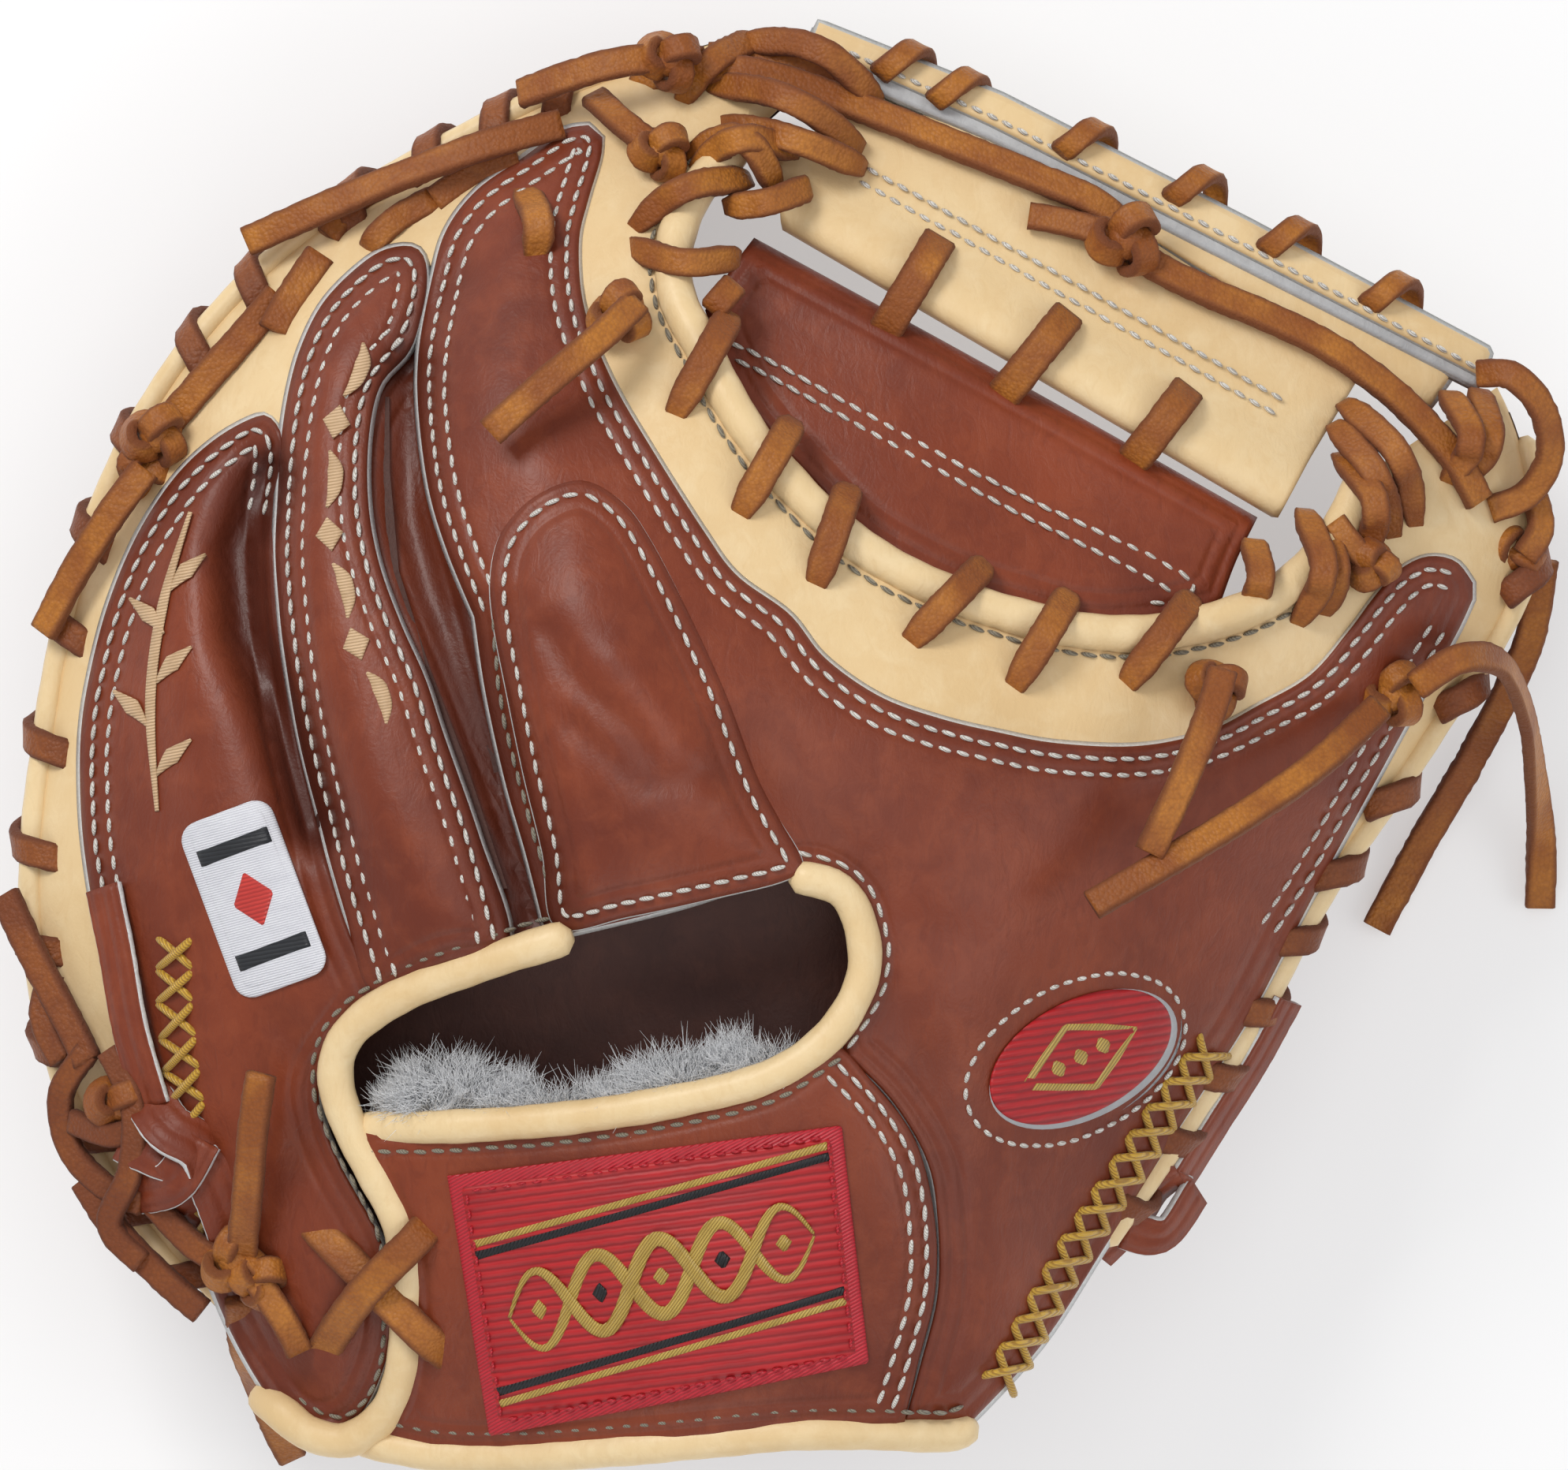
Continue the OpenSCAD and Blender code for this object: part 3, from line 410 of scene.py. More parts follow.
BROWN = leather("brown_leather", (0.25, 0.048, 0.0165), (0.145, 0.025, 0.010), (0.30, 0.068, 0.025),
                (0.80, 0.80, 0.79))
PALM = leather("palm_leather", (0.21, 0.052, 0.023), (0.115, 0.026, 0.014), (0.27, 0.075, 0.033),
               (0.5, 0.45, 0.4), groove=False)
CREAM = leather("cream_leather", (0.80, 0.60, 0.335), (0.72, 0.50, 0.25), (0.86, 0.69, 0.43),
                (0.62, 0.62, 0.6), rough=0.46, grain=0.7, groove=False, slot="cream_leather")
WELT = leather("cream_welt", (0.82, 0.63, 0.36), (0.72, 0.51, 0.26), (0.88, 0.72, 0.46), (0.6, 0.58, 0.5),
               rough=0.42, grain=0.8, groove=False, slot="cream_leather")
LINING = leather("dark_lining", (0.075, 0.024, 0.016), (0.04, 0.013, 0.01), (0.1, 0.034, 0.022),
                 (0.1, 0.04, 0.03), rough=0.6, groove=False, slot="lining_leather")
LACE = lace_material("rawhide", (0.27, 0.076, 0.012), (0.46, 0.168, 0.022), (0.16, 0.044, 0.013))
LACE_DARK = lace_material("rawhide_deep", (0.19, 0.048, 0.012), (0.29, 0.084, 0.016), (0.125, 0.033, 0.012))
WHITE_THREAD = thread_material("white_thread", (0.80, 0.78, 0.73), (0.42, 0.38, 0.33), "cream_leather", 900)
GREY_THREAD = thread_material("grey_thread", (0.30, 0.27, 0.2), (0.14, 0.12, 0.09), "cream_leather", 900)
YELLOW = thread_material("waxed_yellow", (0.62, 0.37, 0.035), (0.36, 0.18, 0.012), "waxed_thread", 700,
                         rough=0.35)
RED = satin_material("badge_red", (0.46, 0.006, 0.010), (0.25, 0.002, 0.005), -98, 200)
RED_EDGE = satin_material("badge_red_edge", (0.55, 0.014, 0.03), (0.34, 0.006, 0.014), 60, 520)
RAW = leather("raw_edge", (0.52, 0.53, 0.54), (0.36, 0.36, 0.37), (0.62, 0.63, 0.64), (0.56, 0.58, 0.60),
              rough=0.85, grain=1.6, groove=False)
GOLD = satin_material("badge_gold", (0.58, 0.40, 0.09), (0.26, 0.15, 0.02), 35, 640, 0.28)
BLACK = satin_material("badge_black", (0.010, 0.010, 0.012), (0.003, 0.003, 0.004), 20, 520)
NAVY = satin_material("badge_dark", (0.016, 0.019, 0.024), (0.006, 0.007, 0.01), 80, 420)
WHITE = satin_material("badge_white", (0.80, 0.81, 0.85), (0.62, 0.62, 0.68), 75, 700, 0.45)
SCARLET = satin_material("badge_scarlet", (0.62, 0.04, 0.03), (0.4, 0.02, 0.015), 75, 420)
SATIN = satin_material("cream_satin", (0.72, 0.50, 0.30), (0.42, 0.26, 0.13), 80, 560, 0.3)


def fleece_material():
    k = Nodes("fleece")
    n = k.noise(700, 4, 0.7)
    c = k.mix(k.ramp(n, [(0.3, 1.0), (0.65, 0.0)]), (0.92, 0.93, 0.95), (0.66, 0.67, 0.70))
    k.set(Base_Color=c, Roughness=0.85, Normal=k.bump(n, 0.8, 0.001))
    k.bsdf.inputs["Sheen Weight"].default_value = 0.5
    k.m["slot"] = "fleece"
    return k.m


def felt_material():
    k = Nodes("felt")
    n = k.noise(500, 5, 0.7, 0.8)
    c = k.mix(n, (0.66, 0.63, 0.56), (0.45, 0.42, 0.36))
    k.set(Base_Color=c, Roughness=0.95, Normal=k.bump(n, 0.6, 0.001))
    k.bsdf.inputs["Sheen Weight"].default_value = 0.4
    k.m["slot"] = "felt_padding"
    return k.m


FLEECE, FELT = fleece_material(), felt_material()
HINGE_AT = V(38, -38)
HINGE_N = V(0.9928, -0.1195)
BEND_HALF, BEND_Z = 30, 0.044   # half the width of leather round the hinge, in mm, and a height, in metres; nothing is bent with them


# ---------------------------------------------------------------- mesh helpers
def piece(name, verts, faces, mat, attrs=None, body=None, hides=()):
    """A finished piece in the mitt's millimetres. body None leaves it attached to no body."""
    mesh = bpy.data.meshes.new(name)
    verts = (np.array(verts, float) + SHIFT) / 1000
    mesh.from_pydata(verts.tolist(), [], [list(map(int, f)) for f in faces])
    mesh.validate()
    mesh.polygons.foreach_set("use_smooth", [True] * len(mesh.polygons))
    for key, vals in (attrs or {}).items():
        a = mesh.attributes.new(key, "FLOAT", "POINT")
        a.data.foreach_set("value", np.asarray(vals, np.float32))
    mesh.update()
    obj = bpy.data.objects.new(name, mesh)
    bpy.context.scene.collection.objects.link(obj)
    mesh.materials.append(mat)
    if hides:
        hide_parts(*hides)
    if body is None:
        a, b = HINGE_AT - BEND_HALF * HINGE_N, HINGE_AT + BEND_HALF * HINGE_N
        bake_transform(obj)
    else:
        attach(obj, body)
    return obj


LACE_W, LACE_T, LACE_JITTER = 5.8, 2.5, 0.022


class Batch:
    """Many small solids of one material gathered into one piece."""

    def __init__(self):
        self.v, self.f, self.a, self.n = [], [], [], 0

    def add(self, verts, faces, across):
        self.v.append(np.array(verts, float))
        self.f.extend([[i + self.n for i in f] for f in faces])
        self.a.append(across)
        self.n += len(verts)

    def strip(self, path, ups, w, t, jitter=LACE_JITTER, taper=None):
        """A flat lace along a path."""
        self.add(*sweep(path, ups, *flat_section(w, t), taper, jitter))

    def make(self, name, mat, body=None, hides=()):
        a = np.concatenate(self.a)
        return piece(name, np.vstack(self.v), self.f, mat, {"across": a, "edge": 9 * np.ones(len(a))}, body,
                     hides)


def inside(P, poly):
    x, y = P[:, 0], P[:, 1]
    hit = np.zeros(len(P), bool)
    for (x1, y1), (x2, y2) in zip(poly, np.roll(poly, -1, 0)):
        cross = ((y1 > y) != (y2 > y)) & (x < (x2 - x1) * (y - y1) / ((y2 - y1) or 1e-12) + x1)
        hit ^= cross
    return hit


def area(outline):
    """An outline's area, negative if it runs clockwise."""
    x, y = outline[:, 0], outline[:, 1]
    return 0.5 * np.sum(x * np.roll(y, -1) - np.roll(x, -1) * y)


def triangulate(outline, step, insets):
    """Points and triangles inside an outline, finer along its edge, with the points' distances from it."""
    outline = np.array(outline, float)
    pts = [outline]
    n = left_of(np.roll(outline, -1, 0) - np.roll(outline, 1, 0))
    if area(outline) < 0:
        n = -n
    for w in insets:
        ring = outline + n * w
        keep = inside(ring, outline) & (line_dist(ring, outline, True) > w * 0.93)
        ring = ring[keep]
        pts.append(ring[:: 2 if w > 4 else 1])
    lo, hi = outline.min(0), outline.max(0)
    gx, gy = np.meshgrid(np.arange(lo[0], hi[0], step), np.arange(lo[1], hi[1], step * 0.866))
    gx = gx + (np.arange(gx.shape[0]) % 2)[:, None] * step / 2
    g = np.column_stack([gx.ravel(), gy.ravel()])
    g = g[inside(g, outline)]
    g = g[line_dist(g, outline, True) > (insets[-1] if insets else 0) + step * 0.55]
    pts.append(g)
    out = delaunay_2d_cdt([tuple(p) for p in np.vstack(pts)], [], [list(range(len(outline)))], 1, 1e-4)
    P = np.array([tuple(v) for v in out[0]])
    faces = []
    for f in map(list, out[2]):
        a, b, c = P[f[0]], P[f[1]], P[f[2]]
        upward = (b[0] - a[0]) * (c[1] - a[1]) - (b[1] - a[1]) * (c[0] - a[0]) > 0
        faces.append(f if upward else f[::-1])
    return P, faces, line_dist(P, outline, True)


def panel(name, outline, mat, surface=back_z, lift=0.0, thick=2.0, puff=0.8, width=7.0, step=2.4, round_r=0.8,
          insets=(0.35, 0.9, 1.8, 3.2), body=None, hides=(), shape=None, wall_raw=True, flare=0.75,
          fold_shade_and_edge_dark=0.0):
    """A piece of leather laid on a surface: crowned top, rounded edge, raw side wall, closed underneath."""
    P, T, dist = triangulate(outline, step, insets)
    z = surface(P)
    top = lift + thick + puff * (1 - np.exp(-(dist / width) ** 1.5))
    top = top - round_r * (1 - np.sqrt(1 - np.clip(1 - dist / round_r, 0, 1) ** 2))
    if shape is not None:
        top = top + shape(P, dist)
    n = len(P)
    upper = np.column_stack([P, z + top])
    lower = np.column_stack([P, z + lift])
    # the wall's own points, so that the raw edge keeps its colour
    edges = {}
    for f in T:
        for a, b in ((f[0], f[1]), (f[1], f[2]), (f[2], f[0])):
            edges[(a, b)] = edges.get((a, b), 0) + 1
    rim_edges = [(a, b) for (a, b) in edges if (b, a) not in edges]
    faces = T + [[i + n for i in f[::-1]] for f in T]
    at = sorted({i for e in rim_edges for i in e})
    new = {i: 2 * n + k for k, i in enumerate(at)}
    wall = np.array([upper[i] - [0, 0, min(0.25, thick * 0.2)] for i in at])
    for a, b in rim_edges:
        faces += [[b, a, new[a], new[b]], [new[b], new[a], a + n, b + n]]
    verts = np.vstack([upper, lower, wall])
    if wall_raw:
        push = np.zeros((n, 2))
        for a, b in rim_edges:
            d = (P[b] - P[a]) / (np.linalg.norm(P[b] - P[a]) + 1e-9)
            push[[a, b]] += (d[1], -d[0])
        push[at] /= np.linalg.norm(push[at], axis=1)[:, None] + 1e-9
        verts[n:2 * n, :2] += push * flare
        verts[2 * n:, :2] += push[at] * 0.12
    low_edge = -1.0 if wall_raw else 9.0
    att = np.concatenate([np.maximum(dist, 0.05), np.full(n, low_edge), np.full(len(at), low_edge)])
    # painted shade: darker towards the panel's edges, and darkened along the back's deep folds, where the
    # creases fall into shade
    deep = fold_shade_and_edge_dark * np.exp(-dist / 7)
    if fold_shade_and_edge_dark and surface is back_z:
        for line, h, w in FOLDS:
            if h < -1:
                deep = deep + min(-h / 9, 1) * np.exp(-(line_dist(P, line) / (w * 1.1)) ** 2)
    deep = np.clip(deep, 0, 1)
    return piece(name, verts, faces, mat, {"edge": att, "fold_shade_and_edge_dark": np.concatenate([deep, deep, deep[at]])},
                 body, hides)


def sweep(path, ups, section, acrosses, taper=None, jitter=0.0):
    """Ring mesh of a section swept along a path; ups holds the section's up direction at each point."""
    path = np.array(path, float)
    ups = np.broadcast_to(np.array(ups, float), path.shape)
    t = np.roll(path, -1, 0) - np.roll(path, 1, 0)
    t[0], t[-1] = path[1] - path[0], path[-1] - path[-2]
    t /= np.linalg.norm(t, axis=1)[:, None] + 1e-12
    side = np.cross(t, ups)
    side /= np.linalg.norm(side, axis=1)[:, None] + 1e-12
    up = np.cross(side, t)
    m, n = len(section), len(path)
    s = np.broadcast_to(np.array(section, float), (n, m, 2)).copy()
    if jitter:
        s *= 1 + jitter * rng.standard_normal((n, m, 1)) * np.abs(acrosses)[None, :, None]
    if taper is not None:
        s *= np.array(taper)[:, None, None]
    v = path[:, None] + side[:, None] * s[:, :, :1] + up[:, None] * s[:, :, 1:]
    faces = []
    for i in range(n - 1):
        for k in range(m):
            a, b = i * m + k, i * m + (k + 1) % m
            faces.append([a, a + m, b + m, b])
    faces += [list(range(m)), list(range((n - 1) * m, n * m))[::-1]]
    return v.reshape(-1, 3), faces, np.tile(np.abs(acrosses), n)


def flat_section(w, t):
    c = min(0.5, t * 0.3)
    x, y = w / 2, t / 2
    pts = [(x, -y + c), (x, y - c), (x - c, y), (x * 0.5, y), (0, y), (-x * 0.5, y), (-x + c, y), (-x, y - c),
           (-x, -y + c), (-x + c, -y), (-x * 0.5, -y), (0, -y), (x * 0.5, -y), (x - c, -y)]
    return pts, V(*[abs(p[0]) / x for p in pts])


def round_section(r, sides=12, flat=1.0):
    a = np.linspace(0, 2 * np.pi, sides, endpoint=False)
    return np.column_stack([r * np.cos(a), r * flat * np.sin(a)]), np.zeros(sides)


def lace(batch, pts, ups, w=LACE_W, t=LACE_T, step=1.1, jitter=LACE_JITTER):
    path = spline(pts, step)
    batch.strip(path, spread(ups, len(path)), w, t, jitter)


def roll(batch, pts, r, flat=1.0, sides=14):
    """A rolled welt with rounded ends."""
    path = spline(pts, 1.6)
    s = np.concatenate([[0], np.cumsum(np.linalg.norm(np.diff(path, axis=0), axis=1))])
    wob = 1 + 0.02 * np.sin(s * 0.35) + 0.015 * np.sin(s * 0.9 + 1)
    e = np.minimum(s, s[-1] - s) / r
    wob *= np.sqrt(1 - np.clip(1 - e * 1.2, 0, 0.93) ** 2)
    batch.add(*sweep(path, UP, *round_section(r, sides, flat), taper=wob))


def knot_path(size, turn, tilt):
    """A drawn-tight overhand knot: the middle of a trefoil."""
    a = np.linspace(0.15, 2 * np.pi - 0.15, 60)
    p = np.stack([np.sin(a) + 2 * np.sin(2 * a), np.cos(a) - 2 * np.cos(2 * a),
                  -2.2 * np.sin(3 * a) * 0.55], 1)
    p *= size / 3.0
    c, s = math.cos(math.radians(turn)), math.sin(math.radians(turn))
    p = p @ V((c, s, 0), (-s, c, 0), (0, 0, 1))
    c, s = math.cos(math.radians(tilt)), math.sin(math.radians(tilt))
    return p @ V((1, 0, 0), (0, c, s), (0, -s, c))


def knot(batch, centre, size, turn, tilt, w=4.8):
    """A knot of flat lace round a core that fills its middle."""
    centre = np.array(centre, float)
    off = knot_path(size, turn, tilt)
    ups = off + V(0, 0, 2.5)
    batch.strip(off + centre, ups / np.linalg.norm(ups, axis=1)[:, None], w, 2.2, 0.02)
    line = np.stack([centre + V(0, 0, h) for h in np.linspace(-size * 0.6, size * 0.6, 7)])
    core = round_section(size * 0.62)
    batch.add(*sweep(line, (0, 1, 0), *core, taper=[0.35, 0.75, 0.95, 1, 0.95, 0.75, 0.35]))


STITCHES = {"white": Batch(), "grey": Batch(), "cream": Batch(), "red": Batch()}


SLANT = math.tan(math.radians(6))


def stitch(line, surface, lift, length=2.9, gap=0.6, r=0.42, kind="white", closed=False, up=1):
    """A row of thread stitches pulled into the leather along a line."""
    line = resample(line, 0.5, closed)
    pts = on(surface, line)
    s = np.concatenate([[0], np.cumsum(np.linalg.norm(np.diff(pts, axis=0), axis=1))])
    total = s[-1]
    count = max(int(total / (length + gap)), 1)
    pitch = total / count
    u = np.linspace(-0.5, 0.5, 7)
    for middle in (np.arange(count) + 0.5) * pitch:
        at = np.clip(middle + u * (pitch - gap), 0, total)
        q = np.stack([np.interp(at, s, pts[:, k]) for k in range(3)], 1)
        d = q[-1] - q[0]
        d /= np.linalg.norm(d) + 1e-9
        side = np.cross(d, (0, 0, 1))
        q = q + side[None] * (u * SLANT * length)[:, None] + side * rng.normal(0, 0.05)
        q[:, 2] += up * (lift + 0.30 - 0.75 * np.abs(2 * u) ** 3)
        STITCHES[kind].add(*sweep(q, UP, *round_section(r, 6), taper=[0.45, 0.85, 1, 1.05, 1, 0.85, 0.45]))


def inset_line(outline, d):
    """A line d inside an outline, left out where the outline is too narrow."""
    o = resample(outline, 1.0, True)
    n = left_of(np.roll(o, -1, 0) - np.roll(o, 1, 0))
    p = o + (n if area(o) > 0 else -n) * d
    good = line_dist(p, o, True) > d * 0.9
    runs, run = [], []
    for i in range(len(p)):
        if good[i]:
            run.append(p[i])
        elif run:
            runs.append(np.array(run))
            run = []
    if run:
        runs.append(np.array(run))
    return [r for r in runs if len(r) > 5]

# ---------------------------------------------------------------- outlines of the cut pieces
INDEX_OUT = [(-36, 112.3), (-41, 111.3), (-48.5, 106), (-56.5, 100.3), (-62, 93), (-64.5, 84.5), (-67, 70.5),
             (-67, 59.5), (-65, 45), (-61.5, 33.5), (-56.5, 21.5)]
CROTCH_EDGE = [(-33.4, 110), (-33.7, 106), (-36, 98), (-37.6, 90), (-36.5, 78), (-31.5, 65), (-24, 52),
               (-14.5, 37), (-8.5, 29), (1, 22), (7.5, 14), (17.5, 7), (28.5, 3), (39, 0.5), (50, -1.5),
               (64.5, -2), (77, 0.5), (87, 5.5), (96.5, 11), (103.5, 19), (108, 25), (112.5, 30), (118, 32.8),
               (123.5, 32), (126.8, 28)]
RIGHT_OUT = [(34, -126), (47.5, -111.5), (59, -94), (72, -73.5), (85, -53.5), (92.5, -39.5), (99.5, -26),
             (106, -14), (112.5, -2), (119, 10), (124, 19), (126.8, 25)]
STRAP_SEAM = [(11, -58), (19.5, -66.5), (26, -77.5), (28, -88.5), (28, -102), (25, -114.5)]
BIG = np.vstack([
    spline(INDEX_OUT, 1.5)[:-1],
    spline([(-56.5, 21.5), (-54.5, 8), (-51, -8), (-47, -22), (-43.5, -36)], 1.5)[:-1],
    spline([(-38.5, -36), (-20, -31.5), (1, -25.5), (10, -28), (14, -35), (14.5, -44.5), (10, -54)], 1.5),
    spline(STRAP_SEAM + [(22, -125.5)], 1.5),
    spline(RIGHT_OUT, 1.5),
    spline(CROTCH_EDGE[::-1], 1.5)])
LITTLE_EDGE = [(-97, 58.5), (-104.5, 54.5), (-112, 47.5), (-119, 37), (-124.5, 24), (-128, 10.5), (-129.5, 0),
               (-129.5, -12), (-128.5, -23)]
LITTLE = spline(LITTLE_EDGE + [(-126, -37), (-121, -57.5), (-113, -79.5), (-107, -97), (-101, -111.5),
                               (-93, -124), (-86, -128), (-78, -125), (-72.5, -113), (-72, -102), (-74, -92),
                               (-81, -79), (-84.5, -70), (-84.5, -62), (-78, -52), (-75, -47), (-80.5, -33),
                               (-86, -14), (-89.5, 0), (-92, 15), (-93, 24), (-93.5, 33.5), (-93.5, 43),
                               (-92, 53.5), (-94, 58)], 1.5, True)
RING_LEFT = [(-70, 90), (-76, 88), (-84, 80.5), (-88.5, 72), (-91, 63), (-92.5, 52), (-93, 42.5),
             (-93.2, 33.5), (-92.5, 24), (-91.5, 15), (-89, 0), (-85.5, -14), (-80, -33)]
RING_RIGHT = [(-55.5, -18.5), (-62, 0), (-65.5, 10.5), (-70, 20.5), (-74, 31.5), (-76, 42.5), (-76, 54.5),
              (-74, 64)]
RING = spline(RING_LEFT + [(-75.5, -47), (-62, -42), (-50, -38)] + RING_RIGHT
              + [(-69, 70), (-67, 75), (-65.5, 83), (-66.5, 88.5)], 1.5, True)
GUSSET = spline([(-64, 79), (-68, 71), (-73, 65), (-77.5, 56), (-78, 43), (-75.5, 30), (-71, 18), (-66, 6),
                 (-59, -12), (-53, -28), (-50, -40), (-41, -36.5), (-42, -28), (-46, -12), (-49, 2),
                 (-53, 17), (-56.5, 30), (-60, 42), (-62, 54), (-63.5, 67)], 1.5, True)
OVAL = spline([(-37, 46.5), (-45.5, 43.5), (-51.5, 37), (-53.5, 29), (-53, 20.5), (-50.5, 7.5), (-47.5, -7),
               (-44, -21.5), (-41.5, -35), (-28, -33), (-12, -29.5), (0, -26.5), (3.5, -23.5), (-1, -15),
               (-5, -7), (-10.5, 7.5), (-16.5, 20.5), (-24, 35), (-29.5, 42.5)], 1.5, True)
STRAP = np.vstack([
    spline([(-76, -71.5), (-61, -71.5), (-41, -70), (-21.5, -67), (-3.5, -62.5), (8, -56), (16, -63),
            (24, -74), (27.5, -88.5), (27.5, -102), (24.5, -114.5), (22, -125.5)], 1.5)[:-1],
    spline([(22, -126), (1, -127), (-24, -129.5), (-47, -131.5), (-63, -131.5), (-74, -129)], 1.5)[:-1],
    spline([(-75, -128), (-71.5, -117), (-70.5, -104), (-72, -94), (-76, -84), (-80, -74)], 1.5)])
CREAM_IN = spline([(-90, -116), (-97, -103), (-106, -82), (-114, -58), (-120, -36), (-123, -12), (-122, 8),
                   (-116, 28), (-107, 42), (-96, 50), (-86, 62), (-80, 76), (-68, 84), (-58, 90), (-50, 96),
                   (-42, 100), (-42, 90), (-41, 78), (-36, 64), (-28, 50), (-18, 35), (-12, 26), (-3, 19),
                   (4, 11), (15, 4), (28, 0), (39, -3), (50, -5), (64, -5.5), (78, -3), (89, 2), (99, 7.5),
                   (107, 16), (112, 22), (116, 24), (114, 8), (107, -3), (99, -16), (93, -26)], 2.0)[::-1]
CREAM_BODY = np.vstack([spline(CROTCH, 1.4), rim(np.arange(26, -20, -1.2), -0.6), CREAM_IN,
                        rim(np.arange(234, 84, -0.9), -0.6)])


# cream underlayer: fingertip crescent, crotch trim and thumb edge in one hide
panel("cream_hide", CREAM_BODY, CREAM, wall_raw=False, lift=-2.4, thick=2.2, puff=0.5, width=4, step=2.6,
      round_r=0.6, hides=["fingertip_crescent", "crotch_trim_finger_side", "crotch_trim_thumb_side",
                          "thumb_crescent"])
# the brown panels get painted shade in their deep folds and are darkened towards their edges
panel("finger_gusset", GUSSET, BROWN, fold_shade_and_edge_dark=0.55, lift=-3.4, thick=1.8, puff=-1.2, width=6, body=HAND,
      step=2.0, hides=["finger_gusset"], wall_raw=False)
panel("back_little_finger", LITTLE, BROWN, fold_shade_and_edge_dark=0.42, lift=-0.2, thick=2.1, puff=1.5, width=8, step=2.1,
      body=HAND, hides=["back_little_finger", "heel_side_little_finger"])
panel("back_ring_finger", RING, BROWN, fold_shade_and_edge_dark=0.42, lift=0.0, thick=2.1, puff=2.0, width=6, step=2.0,
      body=HAND, hides=["back_ring_finger"])
panel("back_of_hand", BIG, BROWN, fold_shade_and_edge_dark=0.22, lift=0.0, thick=2.2, puff=0.9, width=8, step=2.4,
      hides=["back_index_finger", "back_thumb"])
panel("index_finger_pad", OVAL, BROWN, fold_shade_and_edge_dark=0.25, flare=0.25, lift=1.9, thick=1.8, puff=3.4, width=9,
      step=1.9, body=HAND, hides=["index_finger_pad"])
panel("wrist_strap", STRAP, BROWN, fold_shade_and_edge_dark=0.2, wall_raw=False, lift=0.6, thick=2.3, puff=0.8, width=6,
      step=2.4, body=HAND, hides=["wrist_strap"])


# ---------------------------------------------------------------- seams
def seam(pts, lift, rows=(2.3, 5.2), kind="white", side=1):
    """Rows of stitches beside a curve, at these distances to its left (side 1) or right (side -1)."""
    o = resample(spline(pts, 1.2), 1.0)
    n = left_of(np.gradient(o, axis=0))
    for d in rows:
        q = o + side * n * d
        for _ in range(2):
            q[1:-1] = (q[:-2] + q[1:-1] + q[2:]) / 3
        stitch(q, back_z, lift, kind=kind)


seam([(-93.2, 40), (-92, 53.5)] + LITTLE_EDGE + [(-126.5, -33)], 2.4)
seam([(-75.5, -46)] + RING_LEFT[::-1] + [(-66.5, 88), (-65.5, 83), (-67, 75), (-70, 69)], 2.7, side=-1)
seam([(-50.5, -37)] + RING_RIGHT + [(-68, 71.5)], 2.7)
seam(INDEX_OUT[::-1] + [(-33.5, 110)] + CROTCH_EDGE[1:-1], 2.3, side=-1)
seam([(-64.5, 74), (-63.5, 60), (-60.5, 46), (-56.5, 33), (-54.5, 24)], -0.8, [3.2], side=-1)
seam([(-54.5, 22), (-53.5, 8), (-50, -8), (-46, -22), (-42.5, -34)], 2.4, [1.6], "grey")
for line in inset_line(OVAL, 2.6):
    stitch(line, back_z, 4.2)
seam(STRAP_SEAM + [(22, -124)], 3.2, side=-1)
seam([(92, -38)] + RIGHT_OUT[6:10] + [(123.5, 18)], 2.4)
# welt seams
WINDOW = [(-38.5, -36.5), (-51.5, -40.5), (-65.5, -45.5), (-75, -50.5), (-80.5, -56), (-82, -63),
          (-79.5, -71.5), (-75, -80), (-70.5, -89), (-69, -98), (-69, -108), (-70, -117), (-73.5, -125),
          (-80, -129.5), (-87, -128.5), (-92.5, -124.5)]
STRAP_TOP = [(-78, -72), (-61, -71.5), (-41, -70), (-21.5, -67), (-3.5, -62.5), (8, -55), (14.2, -44.5),
             (14, -35), (10, -28), (1, -25.5)]
WRIST = [(-73, -130.5), (-63, -132), (-47, -132), (-24, -130), (1, -127.5), (17.5, -127.5), (30, -128),
         (35, -126)]
seam(WINDOW, 2.0, [4.3], "grey", -1)
seam(STRAP_TOP[:6], 3.0, [4.3], "grey", -1)
seam(STRAP_TOP[5:], 2.4, [4.3], "white", -1)
seam(WRIST, 2.6, [4.2], "grey")
seam(CROTCH, 0.4, [4.2], "grey", -1)

# ---------------------------------------------------------------- rolled welts
welts = Batch()
for line, lift, r, tuck in ((WINDOW + [(-97, -121)], 1.9, 3.3, (-0.6, -5)),
                            (STRAP_TOP, 2.6, 3.1, (-3.5, -0.5)), ([(-79, -129)] + WRIST, 1.2, 3.2, (-4, 0))):
    P = on(base_back, line, lift)
    P[0, 2] += tuck[0]
    P[-1, 2] += tuck[1]
    roll(welts, P, r, flat=0.9)
welts.make("opening_welts", WELT, HAND, ["window_welt", "strap_welt", "wrist_welt"])
crotch_welt = Batch()
roll(crotch_welt, on(base_back, CROTCH, 1.2), 3.5)
crotch_welt.make("crotch_welt", WELT, None, ["crotch_welt_finger_side", "crotch_welt_thumb_side"])
rim_welt = Batch()
for a0, a1 in ((97, 224), (-58, 24)):
    a = np.arange(a0, a1, 2.0)
    roll(rim_welt, np.column_stack([rim(a, 0.4), cyclic(RIM_BACK, a) - 0.8]), 2.3, sides=10)
rim_welt.make("rim_welt", WELT, None, ["rim_welt_finger_side", "rim_welt_thumb_side"])

